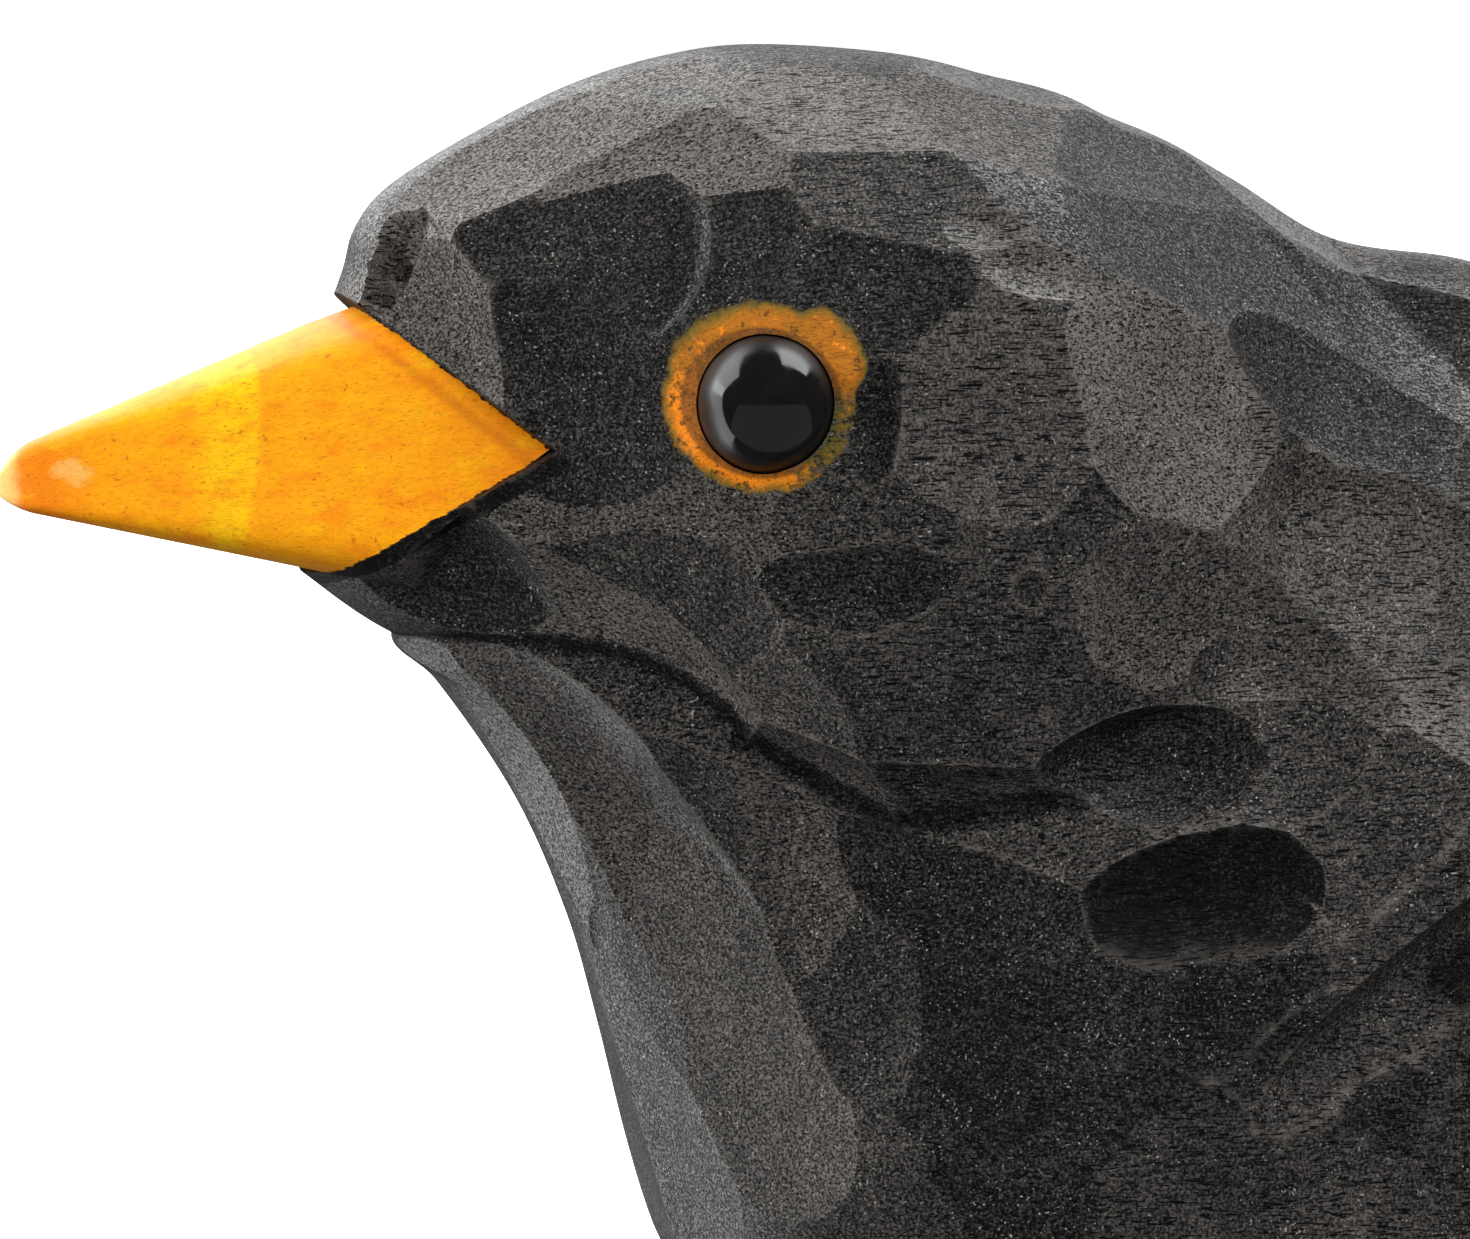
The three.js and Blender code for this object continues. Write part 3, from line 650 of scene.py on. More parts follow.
    def add_crown(self) -> None:
        """Add facets over the crown and nape, to one side of the middle and then the other."""
        index = np.arange(self.crown_facets)
        start, step = self.crown_turns
        rise = np.radians(start + step * index)
        rays = unit(np.stack([np.cos(rise), self.crown_aside * (-1.0) ** index, np.sin(rise)], -1))
        strokes = (1.0, self.crown_swing * np.sin(2 * index), 0.0)
        depth, half_length, half_width = self.crown_size
        self.add_facets(rays, strokes, (depth + 0.05 * np.sin(index), half_length, half_width))
        # The crown's facets take a light grade: thin stain, and painted light on the top of the head.
        self.stains_and_shades[-self.crown_facets:] = [LIGHT.value] * self.crown_facets

    def add_back(self) -> None:
        """Add rows of facets down the back, each row half a step round from the last."""
        row, k = (q.ravel() for q in np.indices((len(self.back_rows), self.back_facets)))
        share = (k + 0.5 * (row % 2)) / (self.back_facets - 0.5)
        turn = np.radians((2 * share - 1) * self.back_spread)
        rise = np.radians(np.array(self.back_rows)[row] + self.back_wander * np.sin(3.0 * k + row))
        level = np.cos(rise)
        rays = np.stack([level * np.cos(turn), level * np.sin(turn), np.sin(rise)], -1)
        places = CARVE_CENTRE + rays * self.block.reach(rays)[:, None]
        fore, low = self.back_limits
        rays = rays[(places[:, 2] > low) & (places[:, 0] > fore)]
        index = np.arange(len(rays))
        strokes = (self.back_stroke[0], self.back_stroke[1] * np.sin(2.3 * index), -1.0)
        depth, half_length, half_width = self.back_size
        shape = (depth + 0.1 * np.sin(index), half_length + np.sin(1.7 * index), half_width)
        self.add_facets(rays, strokes, shape)

    def finish(self) -> None:
        """Turn the rows into arrays."""
        self.frames = np.stack([self.places, self.normals, self.strokes], 1)
        self.size_rows = np.array(self.sizes)

    def apply(self, wood: Wood, radius: Array, owner: Array, rays: Array, rough: Array) -> None:
        """Shorten radii, in place, to the deepest cut of one lump.

        A ray at distance t is under the bowl where constant + linear t + square t^2 < 0. Past its
        reach the bowl climbs away by climb times past^2 / (past + climb start), softly at first.

        Args:
            wood: The lump.
            radius: Length of each ray, changed here.
            owner: Number of the cut or form that each ray ends on, changed here.
            rays: Unit directions from the carving centre.
            rough: Points where the rays leave the rough form.
        """
        for number in (n for n, lump in enumerate(self.woods) if lump is wood):
            place, normal, stroke = self.frames[number]
            depth, half_length, half_width, bend, bend_across = self.size_rows[number]
            across = np.cross(normal, stroke)
            away = rough - place
            overshoot = np.hypot(away @ stroke / half_length, away @ across / half_width) - self.bowl_reach
            near = np.flatnonzero(overshoot < self.bowl_limit)
            offset = CARVE_CENTRE - place
            a0, b0 = offset @ stroke, offset @ across
            a1, b1 = rays[near] @ stroke, rays[near] @ across
            square = -(a1 * a1 * bend + b1 * b1 * bend_across) / 2
            linear = rays[near] @ normal - a0 * a1 * bend - b0 * b1 * bend_across
            constant = offset @ normal + depth - (a0 * a0 * bend + b0 * b0 * bend_across) / 2
            root = linear**2 - 4 * constant * square
            divisor = linear + np.sqrt(np.maximum(root, 0))
            meets = (root > 0) & (divisor > 1e-9) & (constant < 0)
            reach = np.where(meets, -2 * constant / np.where(meets, divisor, 1), np.inf)
            past = np.maximum(overshoot[near], 0) * half_width
            reach = reach + self.climb * past**2 / (past + self.climb_start)
            deeper = reach < radius[near]
            radius[near[deeper]] = reach[deeper]
            owner[near[deeper]] = number


@dataclass
class CarvedBlock:
    """The block with all its cuts, as a grid of rays whose vertices are drawn onto the ridges."""

    rings: int = 270
    columns: int = 300
    left_density: float = 0.35
    cuts: KnifeCuts = field(init=False)

    def __post_init__(self) -> None:
        """Rough out the block and lay out every cut."""
        self.block = RoughBlock()
        self.cuts = KnifeCuts(self.block)
        self.cuts.add_sides(FACE_SCOOPS, Wood.FACE)
        self.cuts.add_sides(BREAST_SCOOPS, Wood.BREAST)
        self.cuts.add_sides(WHOLE_SCOOPS, Wood.WHOLE)
        self.cuts.add_crown()
        self.cuts.add_back()
        self.cuts.finish()

    def directions(self, ring: Array, column: Array) -> Array:
        """Unit rays of the grid: (-cos, -sin cos, sin sin) of two angles, drawn out to the block's form.

        Args:
            ring: Shares from 0 at the beak's end to 1 at the back.
            column: Shares round the bird, 0 at its left side and 0.5 at its right.

        Returns:
            The rays.
        """
        polar = np.pi * ring
        turn = 2 * np.pi * column - self.left_density * np.sin(2 * np.pi * column)
        rays = np.stack([
            -np.cos(polar), -np.sin(polar) * np.cos(turn), np.sin(polar) * np.sin(turn),
        ], -1)
        return unit(rays * GRID_PROPORTION)

    @staticmethod
    def stop_reach(stop: Stop, rays: Array) -> Array:
        """Work out how far rays run to a stop's plane.

        Args:
            stop: The stop.
            rays: Unit directions from the carving centre.

        Returns:
            The lengths, endless where a ray turns away from the plane.
        """
        speed = rays @ stop.normal()
        gap = (GAPE - CARVE_CENTRE) @ stop.normal()
        return np.where(speed > 1e-6, gap / np.where(speed > 1e-6, speed, 1), np.inf)

    def carve(self, ring: Array, column: Array) -> tuple[Array, Array]:
        """Find how far the rays at ring and column shares run, and what they end on."""
        return self.carve_rays(self.directions(ring, column))

    def carve_rays(self, rays: Array) -> tuple[Array, Array]:
        """Find how far rays run to the carved surface.

        Args:
            rays: Unit directions from the carving centre.

        Returns:
            The lengths, and the number of the cut or ground that each ray ends on.
        """
        head, breast = self.block.head.radius(rays), self.block.breast.radius(rays)
        rough = CARVE_CENTRE + rays * self.block.join(head, breast, rays)[:, None]
        head_owner = np.full(len(rays), Ground.HEAD.value)
        breast_owner = np.full(len(rays), Ground.BREAST.value)
        self.cuts.apply(Wood.FACE, head, head_owner, rays, rough)
        self.cuts.apply(Wood.BREAST, breast, breast_owner, rays, rough)
        brow = self.stop_reach(STOP_BROW, rays)
        chin = self.stop_reach(STOP_CHIN, rays)
        stop = np.maximum(brow, chin)
        stopped = stop < head
        head_owner[stopped & (brow >= chin)] = Ground.STOP_BROW.value
        head_owner[stopped & (brow < chin)] = Ground.STOP_CHIN.value
        head = np.minimum(head, stop)
        radius = self.block.join(head, breast, rays)
        owner = np.where(head >= breast, head_owner, breast_owner)
        self.cuts.apply(Wood.WHOLE, radius, owner, rays, rough)
        down = rays[:, 2] < -1e-9
        to_base = np.where(down, -CARVE_CENTRE[2] / np.where(down, rays[:, 2], -1), np.inf)
        owner[to_base < radius] = Ground.BASE.value
        return np.minimum(radius, to_base), owner

    def crossing(self, start: Array, end: Array, owner: Array) -> Array:
        """Find where the owner changes on the way from one vertex to the next.

        Args:
            start: Ring and column shares of the vertices, as two rows.
            end: Those of their neighbours.
            owner: What the vertices' rays end on.

        Returns:
            Shares of the way.
        """
        near, far = np.zeros(len(owner)), np.ones(len(owner))
        ends = halving(near, far, 6, lambda t: self.carve(*(start + (end - start) * t))[1] == owner)
        return sum(ends) / 2

    def snapped_grid(self) -> tuple[Array, Array, Array]:
        """Work out the grid and move the vertices nearest to each ridge onto it.

        Returns:
            Ring shares, column shares and lengths, one row a ring.
        """
        rings = (np.arange(self.rings) + 0.5) / self.rings
        ring, column = np.meshgrid(rings, np.arange(self.columns) / self.columns, indexing="ij")
        shape = ring.shape
        grid = np.stack([ring.ravel(), column.ravel()])
        radius, owner = self.carve(*grid)
        number = np.arange(ring.size).reshape(shape)
        wrap = np.zeros(shape)
        wrap[:, -1] = 1
        pairs = [
            (number.ravel(), np.roll(number, -1, axis=1).ravel(), wrap.ravel()),
            (number[:-1].ravel(), number[1:].ravel(), np.zeros(ring.size - shape[1])),
        ]
        best = np.full(ring.size, 0.5)
        moved_grid = grid.copy()
        for a, b, turn in pairs:
            differ = owner[a] != owner[b]
            a, b, turn = a[differ], b[differ], turn[differ]
            once_round = np.stack([np.zeros(len(turn)), turn])
            share = self.crossing(grid[:, a], grid[:, b] + once_round, owner[a])
            for vertex, other, part, shift in ((a, b, share, once_round), (b, a, 1 - share, -once_round)):
                closer = part < best[vertex]
                v, o, part, shift = vertex[closer], other[closer], part[closer], shift[:, closer]
                best[v] = part
                moved_grid[:, v] = grid[:, v] + (grid[:, o] + shift - grid[:, v]) * part
        moved = np.flatnonzero(best < 0.5)
        radius[moved] = self.carve(*moved_grid[:, moved])[0]
        return *moved_grid.reshape(2, *shape), radius.reshape(shape)

    def mesh(self) -> Surface:
        """Build the block's surface, each cell parted along the diagonal that lies nearer to it.

        Returns:
            Vertices in mm and triangles, closed and facing out.
        """
        ring, column, radius = self.snapped_grid()
        points = CARVE_CENTRE + self.directions(ring.ravel(), column.ravel()) * radius.reshape(-1, 1)
        ends = np.array([0.0, 1.0])
        tips = CARVE_CENTRE + self.directions(ends, 0 * ends) * self.carve(ends, 0 * ends)[0][:, None]
        vertices = np.vstack([points, tips])
        number = np.arange(points.shape[0]).reshape(ring.shape)
        a, b, c, d = cells(number)
        next_ring, next_column = np.roll(ring, -1, axis=1), np.roll(column, -1, axis=1)
        next_column[:, -1] += 1
        mid_ring = (ring[:-1] + ring[1:] + next_ring[:-1] + next_ring[1:]) / 4
        mid_column = (column[:-1] + column[1:] + next_column[:-1] + next_column[1:]) / 4
        lengths = self.carve(mid_ring.ravel(), mid_column.ravel())[0]
        middle = CARVE_CENTRE + self.directions(mid_ring.ravel(), mid_column.ravel()) * lengths[:, None]
        gap_ac = np.linalg.norm((vertices[a] + vertices[c]) / 2 - middle, axis=1)
        gap_bd = np.linalg.norm((vertices[b] + vertices[d]) / 2 - middle, axis=1)
        first = (gap_ac <= gap_bd)[:, None]
        upper = np.where(first, np.stack([a, b, c], -1), np.stack([a, b, d], -1))
        lower = np.where(first, np.stack([a, c, d], -1), np.stack([b, c, d], -1))
        return vertices, outward(vertices, np.vstack([upper, lower, *fans(number)]))


def cells(number: Array) -> tuple[Array, ...]:
    """Give the four corners, in order round it, of each cell of a grid that closes sideways."""
    right = np.roll(number, -1, axis=1)
    return tuple(q.ravel() for q in (number[:-1], number[1:], right[1:], right[:-1]))


def fans(number: Array) -> list[Array]:
    """Close a grid's first row on the vertex after its last, and its last row on the one after that."""
    right, hub = np.roll(number, -1, axis=1), np.full(number.shape[1], number.size)
    return [np.stack(q, -1) for q in ((hub, number[0], right[0]), (number[-1], hub + 1, right[-1]))]


def outward(vertices: Array, triangles: Array) -> Array:
    """Turn all triangles of a closed surface to face out, where its signed volume is under 0.

    Args:
        vertices: The surface's points.
        triangles: Vertex numbers, three a row, all turned the same way.

    Returns:
        The triangles, facing out.
    """
    a, b, c = (vertices[triangles[:, k]] for k in range(3))
    volume = np.sum(a * np.cross(b, c))
    return triangles if volume > 0 else triangles[:, ::-1]


def loft(loops: Array) -> Surface:
    """Skin a stack of closed loops and close its two ends with fans.

    Args:
        loops: Points, as loops by points by 3.

    Returns:
        Vertices and triangles facing out.
    """
    vertices = np.vstack([loops.reshape(-1, 3), loops[0].mean(0), loops[-1].mean(0)])
    number = np.arange(loops.shape[0] * loops.shape[1]).reshape(loops.shape[:2])
    a, b, c, d = cells(number)
    sides = [np.stack([a, b, c], -1), np.stack([a, c, d], -1)]
    return vertices, outward(vertices, np.vstack([*sides, *fans(number)]))


@dataclass
class Beak:
    """The beak: flat sides under a roof-like culmen, opening from a worn round tip.

    Attributes:
        rings: Number of sections.
        points: Points in a section.
        crowding: Power by which the sections crowd at the tip.
        firmness: Power of the section's norm, which firms its edges.
        tip_round: Length in mm of the worn tip.
        overhang: Way in mm from the tip to the first section.
        above: Height above the axis at the tip, and its slope.
        arch: Slope that the height loses from halfway on.
        below: Height below the axis at the tip, and its slope.
        half_width: Half width at the tip, and its slope.
        flank: Shares of half width and of height below that place the sides.
        roof: Share of the height above that places the culmen's two slopes.
        roof_pitch: Angle between each of these slopes and the level, in degrees.
        keel: Shares of half width and of height below that place the lower slopes.
    """

    rings: int = 110
    points: int = 96
    crowding: float = 1.6
    firmness: float = 14.0
    tip_round: float = 1.6
    overhang: float = 0.02
    above: Pair = (1.4, 0.405)
    arch: float = 0.1
    below: Pair = (0.75, 0.21)
    half_width: Pair = (1.0, 0.39)
    flank: Pair = (0.96, 0.2)
    roof: float = 1.05
    roof_pitch: float = 20.0
    keel: Pair = (0.44, 0.73)

    def sizes(self, x: Array) -> tuple[Array, Array, Array]:
        """Work out the beak's size: start plus slope times the way from the tip, blunted to a round tip.

        Args:
            x: Places along the bird.

        Returns:
            Height above the axis, height below it and half width.
        """
        run = x - BEAK_TIP[0]
        share = run / (BEAK_ROOT_X - BEAK_TIP[0])
        blunt = np.sqrt(np.clip(1 - (1 - np.clip(run / self.tip_round, 0, 1)) ** 2, 0, 1))
        straight = [start + slope * run for start, slope in (self.above, self.below, self.half_width)]
        straight[0] -= self.arch * run * np.maximum(share - 0.5, 0)
        return tuple(size * blunt for size in straight)

    def section(self, x: Array, angle: Array) -> Array:
        """Work out the section: one over the p-norm of cos(angle - facet) / facet distance.

        Args:
            x: Places along the bird.
            angle: Angles round the beak's axis, up from the right side.

        Returns:
            Distances from the axis.
        """
        above, below, half_width = self.sizes(x)
        flank = self.flank[0] * half_width - self.flank[1] * below
        roof = self.roof * math.cos(math.radians(self.roof_pitch)) * above
        keel = self.keel[0] * half_width + self.keel[1] * below
        left_roof, right_roof = 90 + self.roof_pitch, 90 - self.roof_pitch
        facets = {
            16: flank, right_roof: roof, left_roof: roof, 164: flank, 240: keel, 270: below, 300: keel,
        }
        total = 0.0
        for facet, distance in facets.items():
            nearness = np.maximum(np.cos(angle - math.radians(facet)), 0) / distance
            total = total + nearness**self.firmness
        return total ** (-1 / self.firmness)

    def mesh(self) -> Surface:
        """Build the beak, with rings closer together at the tip.

        Returns:
            Vertices in mm and triangles facing out.
        """
        share = np.linspace(0, 1, self.rings) ** self.crowding
        start = BEAK_TIP[0] + self.overhang
        x = start + (BEAK_ROOT_X - BEAK_TIP[0] - self.overhang) * share
        angle = np.arange(self.points) * 2 * math.pi / self.points
        x, angle = np.meshgrid(x, angle, indexing="ij")
        radius = self.section(x, angle)
        return loft(np.stack([x, radius * np.cos(angle), BEAK_TIP[1] + radius * np.sin(angle)], -1))


def ball(centre: Array, radius: float, rings: int = 48, points: int = 72) -> Surface:
    """Build a sphere as loops about the y axis: sin(polar) wide, cos(polar) along.

    Args:
        centre: Its middle, in mm.
        radius: Its radius.
        rings: Number of loops.
        points: Points in a loop.

    Returns:
        Vertices and triangles facing out.
    """
    turns = np.arange(points) * 2 * math.pi / points
    polar, turn = np.meshgrid((np.arange(rings) + 0.5) / rings * math.pi, turns, indexing="ij")
    loops = np.stack([np.sin(polar) * np.cos(turn), -np.cos(polar), np.sin(polar) * np.sin(turn)], -1)
    vertices, triangles = loft(loops * radius)
    vertices[-2:] = unit(vertices[-2:]) * radius
    return vertices + centre, triangles


def half_space(point: Array, normal: Array, size: float = BEYOND) -> Surface:
    """Build a box that fills the space behind a plane.

    Args:
        point: A point on the plane.
        normal: The plane's normal, which points away from the box.
        size: Half the box's width, and its depth.

    Returns:
        Vertices and triangles facing out.
    """
    side = unit(np.cross(normal, [0, 0, 1.0]))
    rise = np.cross(side, normal)
    corners = [point + size * (a * side + b * rise) for a, b in ((-1, -1), (1, -1), (1, 1), (-1, 1))]
    loops = np.array([corners, [corner - size * normal for corner in corners]])
    return loft(loops)


def mesh_object(name: str, vertices: Array, triangles: Array) -> bpy.types.Object:
    """Put a surface given in mm into a new object in metres.

    Args:
        name: The object's name.
        vertices: Points in mm.
        triangles: Vertex numbers, three a row.

    Returns:
        The object, in the scene's collection.
    """
    mesh = bpy.data.meshes.new(name)
    mesh.vertices.add(len(vertices))
    mesh.vertices.foreach_set("co", (vertices * MM).astype(np.float32).ravel())
    mesh.loops.add(triangles.size)
    mesh.loops.foreach_set("vertex_index", triangles.astype(np.int32).ravel())
    mesh.polygons.add(len(triangles))
    mesh.polygons.foreach_set("loop_start", np.arange(0, triangles.size, 3, dtype=np.int32))
    mesh.update(calc_edges=True)
    mesh.validate()
    obj = bpy.data.objects.new(name, mesh)
    bpy.context.scene.collection.objects.link(obj)
    return obj


def read(items: Any, name: str, kind: type, width: int = 1) -> Array:
    """Read one property of all faces, loops or edges of a mesh.

    Args:
        items: The mesh's faces, loops or edges.
        name: The property's name.
        kind: The type of its numbers.
        width: How many numbers each of the items has.

    Returns:
        The numbers, as rows where there are two or more for each item.
    """
    values = np.empty((len(items), width), kind)
    items.foreach_get(name, values.ravel())
    return values if width > 1 else values.ravel()


def store(mesh: bpy.types.Mesh, name: str, domain: str, values: Array) -> None:
    """Keep a number for each point or face of a mesh."""
    layer = mesh.attributes.new(name, "FLOAT", domain)
    layer.data.foreach_set("value", values.astype(np.float32))


def to_points(values: Array, ends: Array) -> Array:
    """Give each point the largest number of its edges.

    Args:
        values: A number for each edge, 0 or more.
        ends: The two points of each edge.

    Returns:
        A number for each point.
    """
    points = np.zeros(ends.max() + 1)
    np.maximum.at(points, ends.ravel(), np.repeat(values, 2))
    return points


def spread(values: Array, ends: Array, share: float) -> Array:
    """Carry a share of each point's number along the edges, to where it is the larger one.

    Args:
        values: A number for each point.
        ends: The two points of each edge.
        share: The share that is carried.

    Returns:
        The new numbers.
    """
    wider = values.copy()
    np.maximum.at(wider, ends.ravel(), share * values[ends[:, ::-1].ravel()])
    return wider


def cut_or_join(obj: bpy.types.Object, tools: Sequence[bpy.types.Object], operation: str) -> None:
    """Apply solid operations to an object and delete the tools.

    Args:
        obj: The object that is changed.
        tools: The closed solids that cut it or join it.
        operation: UNION or DIFFERENCE.
    """
    for tool in tools:
        modifier = obj.modifiers.new(operation.lower(), "BOOLEAN")
        modifier.operation = operation
        modifier.object = tool
        modifier.solver = "MANIFOLD"
    depsgraph = bpy.context.evaluated_depsgraph_get()
    result = bpy.data.meshes.new_from_object(obj.evaluated_get(depsgraph))
    obj.modifiers.clear()
    obj.data = result
    for tool in tools:
        bpy.data.objects.remove(tool, do_unlink=True)


class Sock:
    """A shader socket whose operators add the Math nodes that work them out."""

    def __init__(self, shader: "Shader", socket: bpy.types.NodeSocket) -> None:
        """Wrap one output socket."""
        self.shader = shader
        self.socket = socket

    def _math(self, operation: str, *values: Term) -> "Sock":
        """Add one Math node."""
        return self.shader.node("ShaderNodeMath", {"operation": operation}, *values)

    def __add__(self, other: Term) -> "Sock":
        """Add."""
        return self._math("ADD", self, other)

    def __sub__(self, other: Term) -> "Sock":
        """Take away."""
        return self._math("SUBTRACT", self, other)

    def __rsub__(self, other: Term) -> "Sock":
        """Take this away from a number."""
        return self._math("SUBTRACT", other, self)

    def __mul__(self, other: Term) -> "Sock":
        """Multiply."""
        return self._math("MULTIPLY", self, other)

    def __truediv__(self, other: Term) -> "Sock":
        """Divide."""
        return self._math("DIVIDE", self, other)

    def __pow__(self, other: Term) -> "Sock":
        """Raise to a power."""
        return self._math("POWER", self, other)

    def __abs__(self) -> "Sock":
        """Drop the sign."""
        return self._math("ABSOLUTE", self)

    __radd__ = __add__
    __rmul__ = __mul__

    def least(self, other: Term) -> "Sock":
        """Take the smaller."""
        return self._math("MINIMUM", self, other)

    def most(self, other: Term) -> "Sock":
        """Take the larger."""
        return self._math("MAXIMUM", self, other)

    def rise(self, low: float, high: float, ends: Pair = (0.0, 1.0)) -> "Sock":
        """Rise smoothly from 0 at low to 1 at high, or between other ends."""
        settings = {"interpolation_type": "SMOOTHSTEP"}
        return self.shader.node("ShaderNodeMapRange", settings, self, low, high, *ends)

    def fall(self, low: float, high: float) -> "Sock":
        """Fall smoothly from 1 at low to 0 at high."""
        return self.rise(low, high, (1.0, 0.0))


class Shader:
    """A material's or world's node tree with a short way to write it."""

    def __init__(self, owner: bpy.types.Material | bpy.types.World) -> None:
        """Start with an empty tree.

        Args:
            owner: What the tree belongs to.
        """
        owner.use_nodes = True
        self.owner = owner
        self.tree = owner.node_tree
        self.tree.nodes.clear()

    def add(self, kind: str, settings: dict[str, Any], *values: Any, **named: Any) -> bpy.types.Node:
        """Add one node.

        Args:
            kind: The node's type.
            settings: Its own settings, set first.
            values: Values or links of its open sockets, in order.
            named: Values or links by socket name, with _ for a space.

        Returns:
            The node.
        """
        node = self.tree.nodes.new(kind)
        for key, setting in settings.items():
            setattr(node, key, setting)
        inputs = [s for s in node.inputs if s.enabled]
        pairs = list(zip(inputs, values))
        pairs += [(node.inputs[key.replace("_", " ")], value) for key, value in named.items()]
        for socket, value in pairs:
            if isinstance(value, Sock):
                self.tree.links.new(value.socket, socket)
            elif socket.type == "RGBA":
                socket.default_value = (*value, 1.0)
            else:
                socket.default_value = value
        return node

    def node(
        self, kind: str, settings: dict[str, Any], *values: Any, output: str = "", **named: Any,
    ) -> Sock:
        """Add one node as add does, and take its first open output or the one that is named."""
        outputs = self.add(kind, settings, *values, **named).outputs
        return Sock(self, outputs[output] if output else next(s for s in outputs if s.enabled))

    def place(self) -> Sock:
        """Object coordinates in mm."""
        metres = self.node("ShaderNodeTexCoord", {}, output="Object")
        return self.node("ShaderNodeVectorMath", {"operation": "SCALE"}, Vector=metres, Scale=1 / MM)

    def stored(self, name: str) -> Sock:
        """A number kept in the mesh."""
        return self.node("ShaderNodeAttribute", {"attribute_name": name}, output="Fac")

    def split(self, vector: Sock) -> list[Sock]:
        """The three parts of a vector."""
        first = self.node("ShaderNodeSeparateXYZ", {}, vector)
        return [Sock(self, part) for part in first.socket.node.outputs]

    def noise(self, place: Sock, scale: float, detail: float = 2.0, rough: float = 0.5) -> Sock:
        """Cloudy noise about 0.5, in features of one millimetre over the scale."""
        sizes = {"Scale": scale, "Detail": detail, "Roughness": rough}
        return self.node("ShaderNodeTexNoise", {}, Vector=place, **sizes)

    def streaks(self, place: Sock, sizes: Triple, detail: float, rough: float) -> Sock:
        """Cloudy noise about 0.5, in features as long, wide and high in mm as the three sizes."""
        stretched = self.node("ShaderNodeVectorMath", {"operation": "DIVIDE"}, place, sizes)
        return self.noise(stretched, 1.0, detail, rough)

    def mix(self, share: Term, a: "Sock | Colour", b: "Sock | Colour") -> Sock:
        """Colour a turned towards colour b by a share."""
        return self.node("ShaderNodeMix", {"data_type": "RGBA"}, share, a, b)

    def bump(self, height: Sock, distance: float) -> Sock:
        """Normal of a relief whose height 1 stands for a distance in mm."""
        return self.node("ShaderNodeBump", {}, Strength=1.0, Distance=distance * MM, Height=height)

    def surface(self, **sockets: Any) -> bpy.types.Material:
        """Close the material with a Principled shader.

        Args:
            sockets: Values or links by socket name, with _ for a space.

        Returns:
            The material.
        """
        shader = self.node("ShaderNodeBsdfPrincipled", {}, output="BSDF", **sockets)
        self.add("ShaderNodeOutputMaterial", {}, Surface=shader)
        return self.owner


def square_away(x: Sock, z: Sock, place: Pair, height_weight: float = 1.0) -> Sock:
    """Work out the square of the distance from a place, seen from the side.

    Args:
        x: Place along the bird, in mm.
        z: Height.
        place: The place that it is measured from.
        height_weight: How much more the height counts.

    Returns:
        The square of the distance, in mm^2.
    """
    across = x - place[0]
    up = z - place[1]
    return across * across + up * up * height_weight


@dataclass
class WoodPattern:
    """What the carving's finishes share: places in mm, the wood's patterns and the stops' planes.

    Sizes are in mm with the size along the grain first, and scales are features in a millimetre.
    """

    shader: Shader
    fibre_sizes: Triple = (2.2, 0.20, 0.20)
    pore_sizes: Triple = (0.70, 0.090, 0.090)
    pore_edge: Pair = (0.575, 0.630)
    chatter_sizes: Triple = (1.2, 1.6, 1.2)
    jag_sizes: Triple = (0.9, 0.25, 0.25)
    mottle_scale: float = 1.1
    grit_scale: float = 8.0

    def __post_init__(self) -> None:
        """Add the patterns to the material."""
        s = self.shader
        self.place = s.place()
        self.x, y, self.z = s.split(self.place)
        self.side = abs(y)
        self.fibre = s.streaks(self.place, self.fibre_sizes, 3, 0.65)
        self.pores = s.streaks(self.place, self.pore_sizes, 1, 0.5).rise(*self.pore_edge)
        self.chatter = s.streaks(self.place, self.chatter_sizes, 2, 0.5)
        self.jag = s.streaks(self.place, self.jag_sizes, 3, 0.6) - 0.5
        self.mottle = s.noise(self.place, self.mottle_scale, 3, 0.65)
        self.grit = s.noise(self.place, self.grit_scale, 1, 0.6)
        self.brow = self.stop_distance(STOP_BROW)
        self.chin = self.stop_distance(STOP_CHIN)

    def stop_distance(self, stop: Stop) -> Sock:
        """Distance in mm in front of a stop's plane: the point's way from it along its normal."""
        n = stop.normal()
        return n[0] * (self.x - GAPE[0]) - n[1] * (self.side + GAPE[1]) + n[2] * (self.z - GAPE[2])


